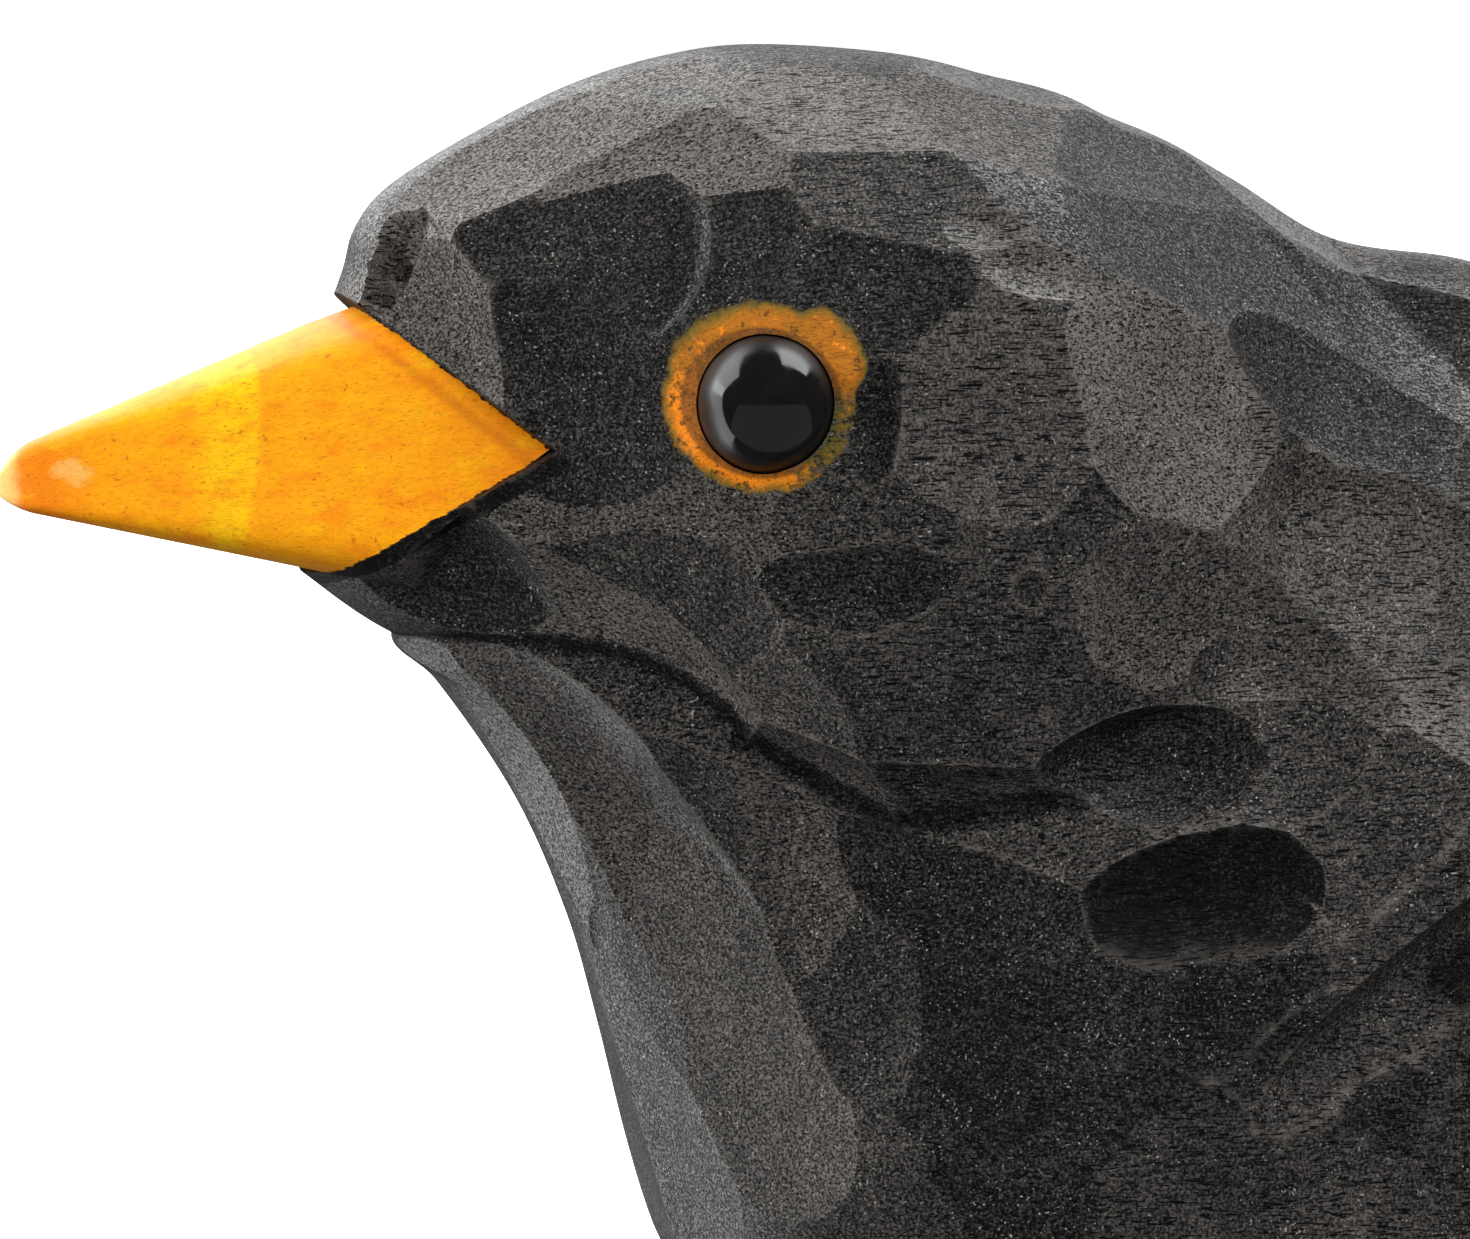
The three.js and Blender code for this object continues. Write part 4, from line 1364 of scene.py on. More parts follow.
@dataclass(frozen=True)
class BlackStain:
    """Black stain on carved wood, thin on the ridges, with open pores and fine dust.

    Attributes:
        deep: Colour where it is deepest.
        thin: Colour where it is thinnest.
        worn: Colour of a rubbed ridge.
        pore: Colour in a pore.
        dust: Colour of a grain of dust.
        cloud_scale: Clouds in a millimetre.
        cloud_share: How much the clouds thin the stain, and so for the other patterns.
        thinness: How thin a stain of depth 0 is.
        depth_share: How much less thin it is at depth 1.
        thin_range: Between which numbers thinness runs from deep to thin.
        thin_power: Power that keeps most of it dark.
        worn_patches: Gain and loss of the patches in which ridges are rubbed.
        worn_range: Between which numbers a ridge goes from stained to rubbed.
        worn_share: Share of the rubbed colour, and how much of it deep stain takes off.
        pore_share: Share of the pore's colour.
        dusty_scale: Dusty places in a millimetre.
        dust_scale: Grains in a millimetre.
        dust_cover: Share of the dust's colour.
    """

    deep: Colour = (0.0028, 0.0026, 0.0025)
    thin: Colour = (0.205, 0.186, 0.170)
    worn: Colour = (0.130, 0.118, 0.106)
    pore: Colour = (0.0008, 0.0007, 0.0007)
    dust: Colour = (0.42, 0.40, 0.37)
    cloud_scale: float = 0.16
    cloud_share: float = 0.8
    mottle_share: float = 0.3
    fibre_share: float = 0.7
    grit_share: float = 1.9
    thinness: float = 0.90
    depth_share: float = 0.85
    thin_range: Pair = (-0.2, 1.8)
    thin_power: float = 1.6
    worn_patches: Pair = (1.8, 0.32)
    worn_range: Pair = (0.05, 0.80)
    worn_share: Pair = (0.75, 0.5)
    pore_share: float = 0.95
    dusty_scale: float = 0.7
    dusty_edge: Pair = (0.30, 0.70)
    dust_scale: float = 8.5
    dust_edge: Pair = (0.740, 0.775)
    dust_cover: float = 0.75

    def colour(self, s: Shader, wood: WoodPattern, ridge: Sock, depth: Sock) -> Sock:
        """Mix the colour of the stained wood.

        Args:
            s: The material.
            wood: Its patterns.
            ridge: How sharp a ridge between cuts is.
            depth: How deep the stain sits, which also carries painted light and shade.

        Returns:
            The colour.
        """
        uneven = (s.noise(wood.place, self.cloud_scale, 3, 0.6) - 0.5) * self.cloud_share
        uneven = uneven + (wood.mottle - 0.5) * self.mottle_share + (wood.fibre - 0.5) * self.fibre_share
        uneven = uneven + (wood.grit - 0.5) * self.grit_share
        thinned = uneven + self.thinness - depth * self.depth_share
        colour = s.mix(thinned.rise(*self.thin_range) ** self.thin_power, self.deep, self.thin)
        worn = ridge ** 2 * (wood.mottle * self.worn_patches[0] - self.worn_patches[1])
        share = worn.rise(*self.worn_range) * (self.worn_share[0] - depth * self.worn_share[1])
        colour = s.mix(share, colour, self.worn)
        colour = s.mix(wood.pores * self.pore_share, colour, self.pore)
        dusty = s.noise(wood.place, self.dusty_scale, 2).rise(*self.dusty_edge)
        dust = s.noise(wood.place, self.dust_scale, 0, 0.5).rise(*self.dust_edge) * dusty
        return s.mix(dust * self.dust_cover * (1 - depth.rise(*NEAR_BLACK)), colour, self.dust)


@dataclass(frozen=True)
class BeakStain:
    """Orange stain on the beak, yellow over a band, with the grain showing through.

    Places are along the bird in mm. Each share is how much of a colour is laid over the rest.

    Attributes:
        unevenness: How far in mm the edges of the colours wander.
        band_start: Between which places the yellow band sets in.
        band_end: Between which places it ends.
        band_bow: How much its end bows, per mm^2 of height from band_height.
        tip: Between which places the red of the tip ends.
        gape: Between which places the red of the gape sets in.
        brow_edge: Between which distances from the brow's stop its red ends.
        bevel_slope: Slope of the edge of the bevel's painted highlight along the culmen.
        bevel_highlight: Heights above the tip between which the painted highlight on the culmen's top bevel
            sets in.
        brow_shadow_offset: Distance from the brow's stop of the painted shadow that the brow casts along
            the beak.
        brow_shadow_edge: Between which distances from its middle the painted shadow ends.
    """

    main: Colour = (0.94, 0.365, 0.0010)
    yellow: Colour = (0.94, 0.52, 0.0010)
    red: Colour = (0.88, 0.205, 0.0015)
    # Colour of the grain, and also of the painted shadow along the brow.
    grain: Colour = (0.50, 0.120, 0.0030)
    worn: Colour = (0.93, 0.62, 0.20)
    # Colour of the painted highlight along the culmen's top bevel.
    rim: Colour = (0.95, 0.44, 0.030)
    unevenness: float = 1.2
    band_start: Pair = (-44.6, -43.0)
    band_end: Pair = (-41.60, -41.15)
    band_bow: float = 0.02
    band_height: float = 41.0
    tip: Pair = (-50.5, -47.5)
    tip_red: float = 0.8
    gape: Pair = (-36.5, -30.0)
    gape_red: float = 0.6
    cloud_sizes: Triple = (2.6, 1.0, 1.0)
    cloud_red: float = 0.55
    brow_edge: Pair = (0.7, 2.4)
    brow_red: float = 0.6
    cloud_yellow: float = 0.35
    dash_sizes: Triple = (1.20, 0.080, 0.080)
    dash_edge: Pair = (0.56, 0.70)
    dash_share: float = 0.55
    dot_scale: float = 3.4
    dot_edge: Pair = (0.72, 0.76)
    dot_share: float = 0.7
    fibre_share: float = 0.26
    bevel_slope: float = 0.38
    bevel_highlight: Pair = (0.86, 0.95)
    bevel_highlight_share: Pair = (0.05, 0.3)
    brow_shadow_offset: float = 0.95
    brow_shadow_edge: Pair = (0.05, 0.40)
    brow_shadow_share: float = 0.42
    bare_tip: Pair = (-51.9, -51.2)
    bare_tip_share: float = 0.8
    bare_spot: Pair = (-49.2, 37.2)
    bare_spot_share: float = 0.4

    def colour(self, s: Shader, wood: WoodPattern) -> Sock:
        """Mix the colour of the beak.

        Args:
            s: The material.
            wood: Its patterns.

        Returns:
            The colour.
        """
        x, z, mottle = wood.x, wood.z, wood.mottle
        uneven = (mottle - 0.5) * self.unevenness
        level = z - self.band_height
        band = (x + uneven * 0.3 + level * level * self.band_bow).fall(*self.band_end)
        band = (x + uneven).rise(*self.band_start) * band
        clouds = s.streaks(wood.place, self.cloud_sizes, 3, 0.6)
        dashes = s.streaks(wood.place, self.dash_sizes, 2, 0.6).rise(*self.dash_edge)
        dots = s.noise(wood.place, self.dot_scale, 1, 0.5).rise(*self.dot_edge)
        colour = s.mix(band, self.main, self.yellow)
        along = x + uneven * 2
        red = (along.fall(*self.tip) * self.tip_red).most(along.rise(*self.gape) * self.gape_red)
        edge = (wood.brow + uneven * 0.8).fall(*self.brow_edge) * clouds.rise(0.35, 0.60)
        red = red.most(clouds.rise(0.48, 0.70) * self.cloud_red).most(edge * self.brow_red)
        colour = s.mix(red, colour, self.red)
        colour = s.mix(clouds.fall(0.30, 0.46) * self.cloud_yellow, colour, self.yellow)
        colour = s.mix((dashes * self.dash_share).most(dots * self.dot_share), colour, self.grain)
        colour = s.mix((wood.fibre - 0.35).rise(0.0, 0.4) * self.fibre_share, colour, self.grain)
        above = z - BEAK_TIP[1] - self.bevel_slope * (x - BEAK_TIP[0])
        # A painted highlight along the culmen's top bevel, patchy with the mottle.
        rubbed = self.bevel_highlight_share[0] + mottle * self.bevel_highlight_share[1]
        colour = s.mix((above + uneven * 0.15).rise(*self.bevel_highlight) * rubbed, colour, self.rim)
        # A darker line along the brow's stop: painted shadow of the brow on the beak.
        line = abs(wood.brow + uneven * 0.3 - self.brow_shadow_offset).fall(*self.brow_shadow_edge)
        colour = s.mix(line * self.brow_shadow_share, colour, self.grain)
        bare = (x + (mottle - 0.5) * 0.7).fall(*self.bare_tip) * self.bare_tip_share
        spot = (square_away(x, z, self.bare_spot, 2.0) + (mottle - 0.5) * 3.0).fall(0.0, 0.9)
        return s.mix(bare.most(spot * self.bare_spot_share), colour, self.worn)


@dataclass(frozen=True)
class RingPaint:
    """Orange paint dabbed round the eye, rubbed to olive at its outer edge.

    Edges are distances in mm from the middle of the eye, between which one thing goes over to the next.

    Attributes:
        edge: Where the paint ends.
        edge_scale: Waves of that edge in a millimetre.
        edge_wander: How far the edge wanders.
        corner_way: Way to the back and up in which the ring runs out to a point.
        corner_pull: How far it runs out there.
        narrowing: How much narrower the ring is to the back, to the beak and below.
        fringe: Where it turns to olive.
        socket_shadow_edge: Where the painted shadow in the socket round the bead ends.
        fleck_scale: Flecks in a millimetre.
        bright_flecks: Between which numbers of the pattern a fleck is bright.
        dark_flecks: Between which numbers a fleck is dark.
    """

    main: Colour = (0.41, 0.138, 0.006)
    bright: Colour = (0.88, 0.25, 0.008)
    olive: Colour = (0.100, 0.092, 0.014)
    # Colour of the dark flecks, and of the painted shadow in the socket.
    dark: Colour = (0.070, 0.030, 0.008)
    edge: Pair = (4.05, 4.30)
    edge_scale: float = 0.45
    edge_wander: float = 1.1
    corner_way: Pair = (0.80, 0.60)
    corner_pull: float = 0.9
    narrowing: Triple = (0.30, 0.15, 0.40)
    fringe: Pair = (4.10, 4.60)
    socket_shadow_edge: Pair = (3.10, 3.30)
    fleck_scale: float = 2.2
    bright_flecks: Pair = (0.60, 0.70)
    dark_flecks: Pair = (0.34, 0.44)

    def colour(self, s: Shader, wood: WoodPattern) -> tuple[Sock, Sock]:
        """Mix the paint's colour and say where it lies, by distance from the eye seen from the side.

        Args:
            s: The material.
            wood: Its patterns.

        Returns:
            The colour, and the share of the paint.
        """
        away = square_away(wood.x, wood.z, EYE_PLACE) ** 0.5
        level = (wood.x - EYE_PLACE[0]) / away.most(0.1)
        height = (wood.z - EYE_PLACE[1]) / away.most(0.1)
        rough_edge = s.noise(wood.place, self.edge_scale, 3, 0.7) - 0.5
        corner = level * self.corner_way[0] + height * self.corner_way[1]
        reach = away + rough_edge * self.edge_wander - corner.rise(0.85, 1.0) * self.corner_pull
        back, fore, below = self.narrowing
        reach = reach + level.rise(0.2, 1.0) * back + level.fall(-0.9, 0.0) * fore
        reach = reach + height.fall(-0.9, 0.1) * below
        flecks = s.noise(wood.place, self.fleck_scale, 3, 0.75)
        bare_side = level.rise(0.20, 0.75) * corner.fall(0.70, 0.95)
        mask = reach.fall(*self.edge) * (1 - bare_side * (1 - flecks.rise(0.44, 0.54)) * 0.9)
        low = (height * 0.8 + level * 0.6).fall(-0.9, 0.5)
        colour = s.mix((flecks + low * 0.22).rise(*self.bright_flecks), self.main, self.bright)
        colour = s.mix(flecks.fall(*self.dark_flecks) * 0.8, colour, self.dark)
        # Painted shadow in the socket round the bead.
        colour = s.mix(away.fall(*self.socket_shadow_edge) * 0.7, colour, self.dark)
        fringe = (reach + wood.mottle * 0.8).rise(*self.fringe) * 0.85
        return s.mix(fringe.most(bare_side * flecks.fall(0.58, 0.70) * 0.9), colour, self.olive), mask


@dataclass(frozen=True)
class CarvedWoodFinish:
    """The finish of the whole carving: stain, beak colour and eye paint on one piece of wood.

    Attributes:
        stain: The black stain.
        beak: The beak's colours.
        ring: The paint round the eyes.
        orange_edge: Distances past the stops between which the orange sets in.
        smear_place: Middle of a smear of orange on the brow, from the side.
        smear_edge: Squares of the distance from it between which the smear ends.
        wall_black_and_shade_edge: Distances from the chin's stop between which its wall sets in, black
            paint with painted shade under the beak.
        wall_black_and_shade_end: Places along the bird between which it ends.
        seam_dark_edge: Between which numbers a seam goes over to its darker stain.
        seam_dark_depth: Depth of the stain on the darkened seams.
        dry_roughness: Roughness of the stain.
        paint_roughness: Roughness of orange stain and paint.
        sheen: Weight of the wax's sheen; the fields after it say how much each thing changes it.
        relief: Height in mm of the wood's relief, of which chatter_relief is the knife's share.
    """

    stain: BlackStain = BlackStain()
    beak: BeakStain = BeakStain()
    ring: RingPaint = RingPaint()
    orange_edge: Pair = (0.0, 0.08)
    smear_place: Pair = (-37.8, 44.3)
    smear_edge: Pair = (0.08, 0.14)
    wall_black_and_shade_edge: Pair = (-0.80, -0.70)
    wall_black_and_shade_end: Pair = (-29.0, -28.5)
    seam_dark_edge: Pair = (0.1, 0.9)
    seam_dark_depth: float = 0.95
    dry_roughness: float = 0.54
    paint_roughness: float = 0.46
    sheen: float = 0.60
    fibre_sheen: float = 0.9
    mottle_sheen: float = 0.4
    grit_sheen: float = 3.4
    deep_sheen: float = 0.30
    ridge_sheen: float = 0.08
    sheen_of_paint: float = 0.10
    sheen_roughness: float = 0.42
    chatter_relief: float = 1.2
    relief: float = 0.050

    def material(self) -> bpy.types.Material:
        """Build the material.

        Returns:
            The material, which reads what the carving's mesh keeps about its ridges and cuts.
        """
        s = Shader(bpy.data.materials.new("black stained carved wood"))
        wood = WoodPattern(s)
        ridge = s.stored("ridge")
        smear = square_away(wood.x, wood.z, self.smear_place) + wood.jag * 0.5
        orange = (wood.brow.least(wood.chin) + wood.jag * 0.4).rise(*self.orange_edge) * s.stored("beak")
        orange = orange.most(smear.fall(*self.smear_edge))
        # Black paint on the stop walls under the beak, with painted shade for the band in their shadow.
        wall = (wood.chin + wood.jag * 0.3).rise(*self.wall_black_and_shade_edge)
        wall = wall * wood.brow.rise(-0.2, 0.0) * wood.x.fall(*self.wall_black_and_shade_end)
        # Darker along the seams between face and breast.
        seam_darkening = (s.stored("seam_darkening") + (wood.mottle - 0.5) * 0.6).rise(*self.seam_dark_edge) * self.seam_dark_depth
        # The stain's depth: each cut's grade with its painted light and shade, the wall's black paint and
        # painted shade, and the darkened seams.
        depth = s.stored("stain").most(wall).most(seam_darkening)

        eye, eye_mask = self.ring.colour(s, wood)
        eye_mask = eye_mask * (1 - orange)
        colour = s.mix(orange, self.stain.colour(s, wood, ridge, depth), self.beak.colour(s, wood))
        colour = s.mix(eye_mask, colour, eye)
        paint = orange.most(eye_mask)
        wear = (wood.mottle - 0.5) * 0.2
        roughness = (wear + self.dry_roughness) * (1 - paint) + (wear + self.paint_roughness) * paint
        shine = self.sheen + (wood.fibre - 0.5) * self.fibre_sheen + (wood.mottle - 0.5) * self.mottle_sheen
        shine = shine + (wood.grit - 0.5) * self.grit_sheen - depth * self.deep_sheen
        shine = shine + ridge * self.ridge_sheen
        shine = shine * (1 - wood.pores * 0.95) * (1 - depth.rise(*NEAR_BLACK) * 0.9)
        polish = shine.most(0.0).least(1.0) * (1 - paint) + paint * self.sheen_of_paint
        height = (wood.fibre * 0.5 - wood.pores * 1.2 + wood.grit * 0.5) * (1 - orange * 0.8)
        relief = s.bump(height + wood.chatter * self.chatter_relief, self.relief)
        coat = {"Coat_Weight": polish, "Coat_Roughness": self.sheen_roughness, "Coat_IOR": 1.5}
        wax = {"IOR": 1.45, "Specular_IOR_Level": 0.16}
        return s.surface(Base_Color=colour, Roughness=roughness, Normal=relief, **wax, **coat)


@dataclass(frozen=True)
class BeadFinish:
    """Black glass, polished, with the faintest wear, and duller where it meets its socket."""

    colour: Colour = (0.003, 0.003, 0.0035)
    smeared: Colour = (0.008, 0.008, 0.009)
    polish: float = 0.07
    smear_roughness: float = 0.10
    rim: Pair = (1.95, 2.65)
    rim_roughness: float = 0.30

    def material(self) -> bpy.types.Material:
        """Build the material.

        Returns:
            The material, for both beads.
        """
        s = Shader(bpy.data.materials.new("black bead glass"))
        place = s.place()
        x, _, z = s.split(place)
        rim = (square_away(x, z, EYE_PLACE) ** 0.5).rise(*self.rim)
        smears = s.noise(place, 0.8, 3, 0.6)
        tint = s.mix(smears.rise(0.55, 0.75) * 0.3, self.colour, self.smeared)
        roughness = self.polish + smears.rise(0.4, 0.7) * self.smear_roughness + rim * self.rim_roughness
        return s.surface(Base_Color=tint, Roughness=roughness, IOR=1.52)


@dataclass(frozen=True)
class FloorFinish:
    """Plain white paper, lit from below so that it photographs white."""

    colour: Colour = (0.88, 0.88, 0.88)
    glow: float = 0.95

    def material(self) -> bpy.types.Material:
        """Build the material.

        Returns:
            The material.
        """
        s = Shader(bpy.data.materials.new("white paper floor"))
        glow = {"Emission_Color": (1.0, 1.0, 1.0), "Emission_Strength": self.glow}
        return s.surface(Base_Color=self.colour, Roughness=0.9, **glow)


@dataclass
class CarvedBird:
    """The carving: block, beak and eye sockets made one solid, with its finish.

    Attributes:
        block: The carved block.
        beak: The beak, let into it.
        ridge_angle: Bend in degrees past which an edge between two cuts is sharp.
        sharp_angle: Bend past which any edge is sharp.
        least_wear: Bend at which a ridge begins to wear and a seam to darken.
        full_wear: Further bend by which a ridge is worn in full.
        full_seam_dark: Further bend by which a seam is dark in full.
        wear_share: Share of the wear that the next point has.
        seam_dark_shares: Shares of the seam's darkening that the next points have, one after the other.
        ray_gap: Distance in mm, and share of the ray's length, within which a face is the block's own.
        beak_gap: Distance in mm past the block from which a face is the beak's.
        wall_turn: Cosine of the turn from a jaw wall within which a face isn't the beak's.
    """

    block: CarvedBlock = field(default_factory=CarvedBlock)
    beak: Beak = field(default_factory=Beak)
    ridge_angle: float = 3.0
    sharp_angle: float = 32.0
    least_wear: float = 4.0
    full_wear: float = 22.0
    full_seam_dark: float = 14.0
    wear_share: float = 0.25
    seam_dark_shares: tuple[float, ...] = (0.85, 0.75, 0.6)
    ray_gap: Pair = (0.05, 0.01)
    beak_gap: float = 0.02
    wall_turn: float = 0.97

    def eye_centre(self, side: Side) -> Array:
        """Place a bead so that its socket is sunk into the rough side.

        Args:
            side: The side of the bird.

        Returns:
            Its middle, in mm.
        """
        x, z = EYE_PLACE
        point = self.block.block.side_points(np.array([x]), np.array([z]))
        centre = (point - self.block.block.normals(point) * BEAD_SINK)[0]
        return centre * np.array([1, -side.value, 1])

    def build(self, eyes: dict[Side, Array]) -> bpy.types.Object:
        """Build the carved piece.

        Args:
            eyes: Middle of each bead, in mm.

        Returns:
            The dressed object.
        """
        bird = mesh_object("carved_wood_bird", *self.block.mesh())
        beak = mesh_object("beak_tool", *self.beak.mesh())
        walls = [(GAPE - LET_IN * STOP_BROW.normal(), STOP_BROW.normal())]
        walls += [(GAPE * np.array([1, -side.value, 1]), JAW_WALL.normal(side)) for side in Side]
        tools = [mesh_object(f"wall_tool_{i}", *half_space(*wall)) for i, wall in enumerate(walls)]
        cut_or_join(beak, tools, "DIFFERENCE")
        cut_or_join(bird, [beak], "UNION")
        sockets = [
            mesh_object(f"socket_tool_{side.name}", *ball(centre, BEAD_DIAMETER / 2 + SOCKET_GAP))
            for side, centre in eyes.items()
        ]
        cut_or_join(bird, sockets, "DIFFERENCE")
        self.mark_ridges(bird.data)
        bird.data.materials.clear()
        bird.data.materials.append(CarvedWoodFinish().material())
        return bird

    def face_stains_and_shades(self, owner: Array) -> Array:
        """Look up how deep the stain sits on each face, a grade that also paints in light and shade.

        Args:
            owner: Number of the cut or ground that each face belongs to, or -1, the last entry.

        Returns:
            Depths from 0 to 1.
        """
        stains_and_shades = np.full(Ground.BASE.value + 2, PLAIN.value)
        stains_and_shades[:len(self.block.cuts.stains_and_shades)] = self.block.cuts.stains_and_shades
        # The stop walls get the black grade: black paint, with painted shade in the recess where the beak
        # is let in.
        stains_and_shades[[Ground.STOP_BROW.value, Ground.STOP_CHIN.value]] = BLACK.value
        return stains_and_shades[owner]

    def on_breast(self, owner: Array) -> Array:
        """Whether each face belongs to the breast."""
        numbers = [n for n, wood in enumerate(self.block.cuts.woods) if wood is Wood.BREAST]
        return np.isin(owner, [*numbers, Ground.BREAST.value])

    def mark_ridges(self, mesh: bpy.types.Mesh) -> None:
        """Shade smooth within each cut and sharp between cuts, and keep what the finish reads.

        A face belongs to the cut that the ray through its middle ends on, or to none of them
        where the ray ends further away than the ray gap, as on the beak.

        Args:
            mesh: The carving's mesh, changed here.
        """
        totals = read(mesh.polygons, "loop_total", np.int32)
        normals = read(mesh.polygons, "normal", np.float32, 3)
        centres = read(mesh.polygons, "center", np.float32, 3)
        ends = read(mesh.edges, "vertices", np.int32, 2)
        rays = centres / MM - CARVE_CENTRE
        lengths = np.linalg.norm(rays, axis=1)
        radius, owner = self.block.carve_rays(rays / lengths[:, None])
        owner[np.abs(radius - lengths) > self.ray_gap[0] + self.ray_gap[1] * lengths] = -1

        order = np.argsort(read(mesh.loops, "edge_index", np.int32), kind="stable")
        first, second = np.repeat(np.arange(len(totals)), totals)[order].reshape(-1, 2).T
        bend = np.degrees(np.arccos(np.clip(np.sum(normals[first] * normals[second], -1), -1, 1)))
        turn = np.sum((centres[second] - centres[first]) * normals[first], -1)
        between = owner[first] != owner[second]
        sharp = (between & (bend > self.ridge_angle)) | (bend > self.sharp_angle)
        mesh.polygons.foreach_set("use_smooth", np.ones(len(totals), bool))
        layer = mesh.attributes.get("sharp_edge") or mesh.attributes.new("sharp_edge", "BOOLEAN", "EDGE")
        layer.data.foreach_set("value", sharp)

        wear = np.clip((bend - self.least_wear) / self.full_wear, 0, 1)
        ridge = to_points(np.where((turn < 0) & sharp, wear, 0), ends)
        store(mesh, "ridge", "POINT", spread(ridge, ends, self.wear_share))
        breast = self.on_breast(owner)
        # Seams where face and breast meet are made darker.
        seam = (turn > 0) & sharp & (breast[first] != breast[second])
        seam_dark = np.clip((bend - self.least_wear) / self.full_seam_dark, 0, 1)
        seam_darkening = to_points(np.where(seam, seam_dark, 0), ends)
        for share in self.seam_dark_shares:
            seam_darkening = spread(seam_darkening, ends, share)
        store(mesh, "seam_darkening", "POINT", seam_darkening)
        # Each face's stain grade, which also paints in the light and shade of its cut.
        store(mesh, "stain", "FACE", self.face_stains_and_shades(owner))
        beak = (lengths > radius + self.beak_gap) & (centres[:, 0] < BEAK_ROOT_X * MM)
        for side in Side:
            beak &= normals @ JAW_WALL.normal(side) >= -self.wall_turn
        store(mesh, "beak", "FACE", beak)
        mesh.update()


@dataclass
class BeadEye:
    """One black glass bead in its socket."""

    side: Side
    centre: Array

    def build(self, material: bpy.types.Material) -> bpy.types.Object:
        """Build the bead and give it its finish.

        Args:
            material: The glass.

        Returns:
            The dressed object.
        """
        name = f"{self.side.name.lower()}_glass_bead"
        bead = mesh_object(name, *ball(self.centre, BEAD_DIAMETER / 2, 64, 96))
        bead.data.polygons.foreach_set("use_smooth", np.ones(len(bead.data.polygons), bool))
        bead.data.materials.append(material)
        return bead


def stand(aim: Vector, azimuth: float, elevation: float, distance: float) -> Matrix:
    """Place something so that it looks at the bird.

    Args:
        aim: The point it looks at.
        azimuth: Its turn from the bird's left side towards the back, in degrees.
        elevation: Its rise above the level.
        distance: Its distance in metres.

    Returns:
        Its place and turn.
    """
    turn, rise = math.radians(azimuth), math.radians(elevation)
    back = Vector((math.sin(turn) * math.cos(rise), -math.cos(turn) * math.cos(rise), math.sin(rise)))
    facing = back.to_track_quat("Z", "Y").to_matrix().to_4x4()
    return Matrix.Translation(aim + back * distance) @ facing


@dataclass
class Softbox:
    """A soft studio light given by where it stands, in degrees and metres, and how bright it looks."""

    name: str
    azimuth: float
    elevation: float
    distance: float
    width: float
    height: float
    radiance: float
    mirrored: bool = True

    def build(self, aim: Vector) -> None:
        """Add the light; its power is radiance times pi times area.

        Args:
            aim: The point it looks at.
        """
        data = bpy.data.lights.new(self.name, "AREA")
        data.shape = "RECTANGLE"
        data.size = self.width
        data.size_y = self.height
        data.energy = self.radiance * math.pi * self.width * self.height
        light = bpy.data.objects.new(self.name, data)
        light.visible_glossy = self.mirrored
        light.matrix_world = stand(aim, self.azimuth, self.elevation, self.distance)
        bpy.context.scene.collection.objects.link(light)


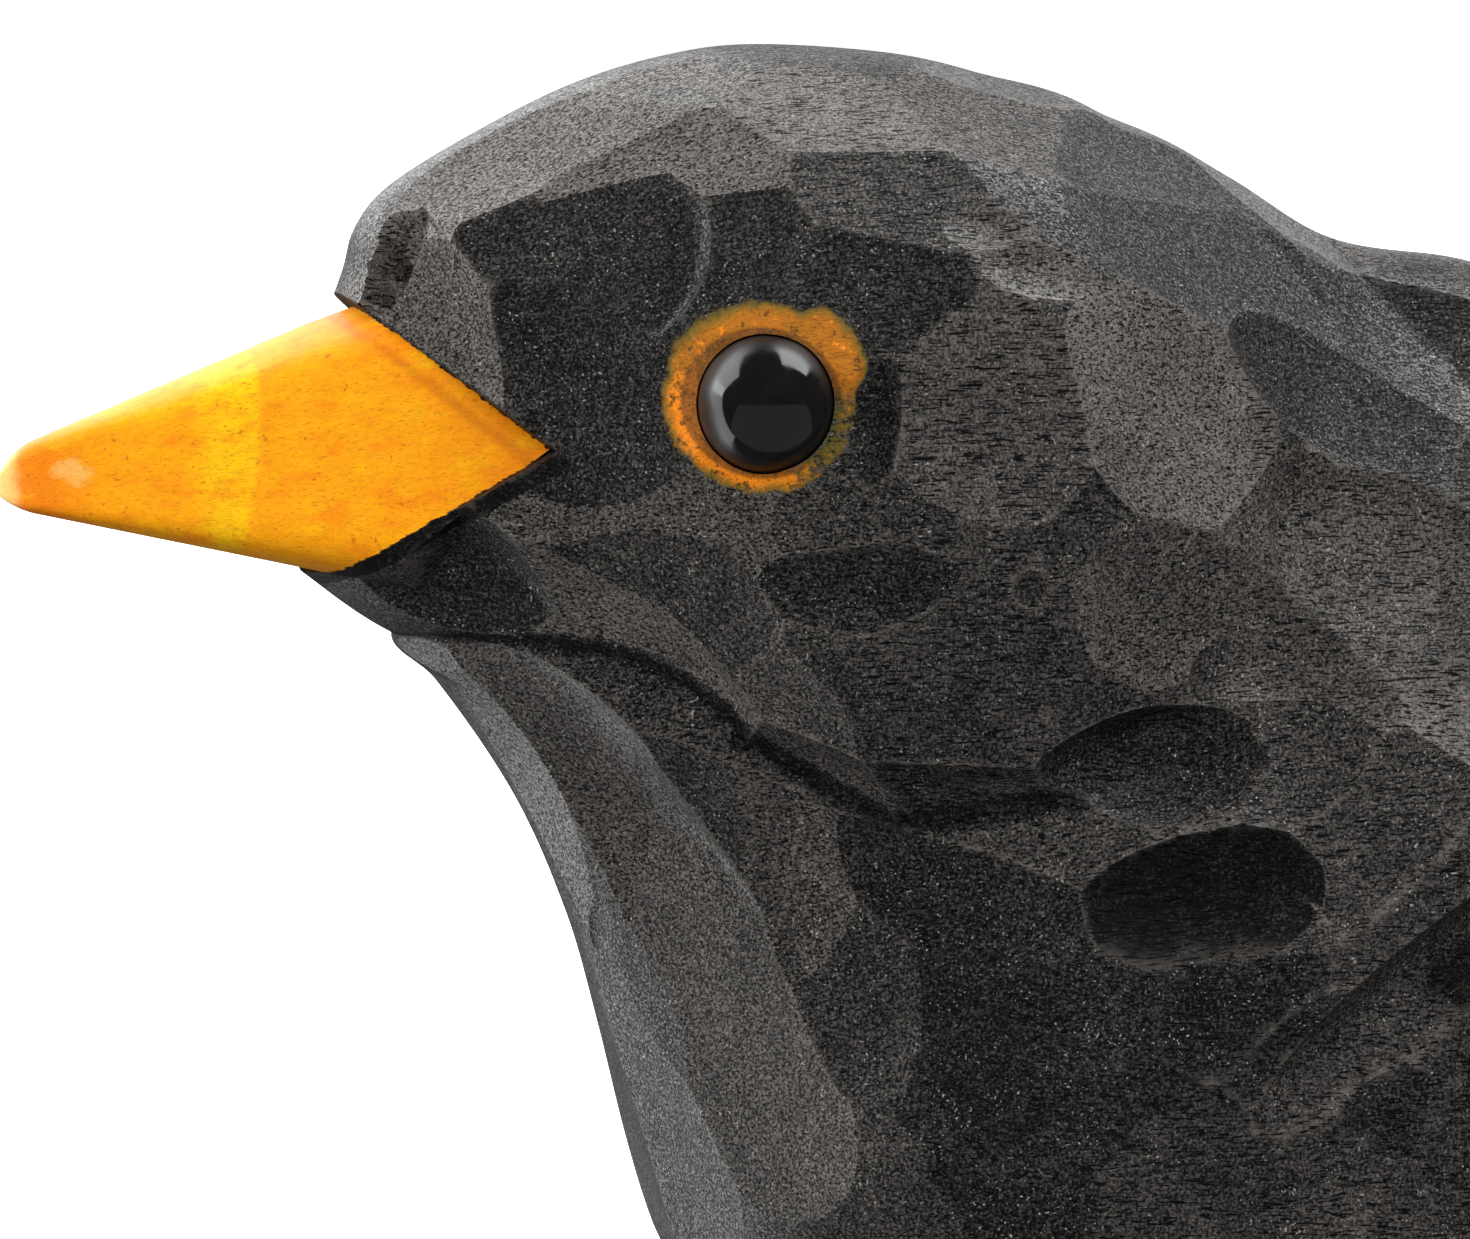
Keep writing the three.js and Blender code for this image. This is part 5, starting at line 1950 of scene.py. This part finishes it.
@dataclass
class Studio:
    """Camera at the photograph's view, pale floor and soft lights."""

    aim: Vector = field(default_factory=lambda: Vector((-19.8, 0.0, 30.2)) * MM)
    azimuth: float = -12.0
    elevation: float = 5.0
    distance: float = 0.480
    frame_width: float = 0.0642
    sensor: float = 36.0
    floor_size: float = 6.0
    room: Colour = (0.10, 0.10, 0.105)
    lights: tuple[Softbox, ...] = (
        Softbox("overhead softbox", 96.0, 59.0, 0.60, 0.46, 0.40, 5.8),
        Softbox("top paper", 222.0, 37.0, 0.80, 1.50, 0.70, 3.8),
        Softbox("background paper left", 238.0, -12.0, 0.80, 0.90, 1.15, 2.5),
        Softbox("background paper right", 140.0, 8.0, 0.80, 0.70, 0.60, 1.4),
        Softbox("left fill", -62.0, 18.0, 0.70, 0.55, 0.60, 3.1, False),
        Softbox("front fill", 5.0, 34.0, 0.80, 0.60, 0.50, 2.6, False),
        Softbox("right fill", 62.0, 28.0, 0.70, 0.45, 0.50, 3.9, False),
        Softbox("table card", -5.0, -38.0, 0.45, 1.80, 0.80, 0.24),
    )

    def camera(self) -> None:
        """Stand the camera: focal length is sensor times distance over the frame's width."""
        data = bpy.data.cameras.new("photograph view")
        data.sensor_fit = "HORIZONTAL"
        data.sensor_width = self.sensor
        data.lens = self.sensor * self.distance / self.frame_width
        data.clip_start = 0.01
        data.clip_end = 20
        camera = bpy.data.objects.new("photograph view", data)
        camera.matrix_world = stand(self.aim, self.azimuth, self.elevation, self.distance)
        bpy.context.scene.collection.objects.link(camera)
        bpy.context.scene.camera = camera

    def world(self) -> None:
        """White to the camera, and the dim room to the bird."""
        world = bpy.data.worlds.new("studio room")
        s = Shader(world)
        room = s.node("ShaderNodeBackground", {}, Color=self.room)
        seen = s.node("ShaderNodeBackground", {}, Color=(1.0, 1.0, 1.0))
        camera_ray = s.node("ShaderNodeLightPath", {}, output="Is Camera Ray")
        both = s.node("ShaderNodeMixShader", {}, camera_ray, room, seen)
        s.add("ShaderNodeOutputWorld", {}, Surface=both)
        bpy.context.scene.world = world

    def floor(self) -> bpy.types.Object:
        """Lay the floor, which the camera sees but which throws no light up at the bird.

        Returns:
            The floor.
        """
        half = self.floor_size / 2 / MM
        corners = np.array([[-half, -half, 0], [half, -half, 0], [half, half, 0], [-half, half, 0]])
        floor = mesh_object("paper_floor", corners, np.array([[0, 1, 2], [0, 2, 3]]))
        floor.data.materials.append(FloorFinish().material())
        floor.visible_diffuse = False
        floor.visible_glossy = False
        return floor

    def build(self) -> bpy.types.Object:
        """Set up the studio.

        Returns:
            Its floor.
        """
        for light in self.lights:
            light.build(self.aim)
        self.world()
        self.camera()
        bpy.context.scene.view_settings.view_transform = "Standard"
        return self.floor()


def triangles_of(obj: bpy.types.Object) -> int:
    """Count an object's triangles."""
    return int(np.sum(read(obj.data.polygons, "loop_total", np.int32) - 2))


def main() -> None:
    """Build the carving, its eyes and the studio, in order."""
    logging.basicConfig(level=logging.INFO, format="%(name)s: %(message)s")
    carving = CarvedBird()
    eyes = {side: carving.eye_centre(side) for side in Side}
    bird = carving.build(eyes)
    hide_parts("carved_bird")
    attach(bird, "root")
    log.info("%s: %d triangles", bird.name, triangles_of(bird))
    glass = BeadFinish().material()
    for side, centre in eyes.items():
        bead = BeadEye(side, centre).build(glass)
        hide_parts(f"{side.name.lower()}_bead_eye")
        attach(bead, "root")
        log.info("%s: %d triangles", bead.name, triangles_of(bead))
    Studio().build()
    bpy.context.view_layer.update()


if __name__ == "__main__":
    main()
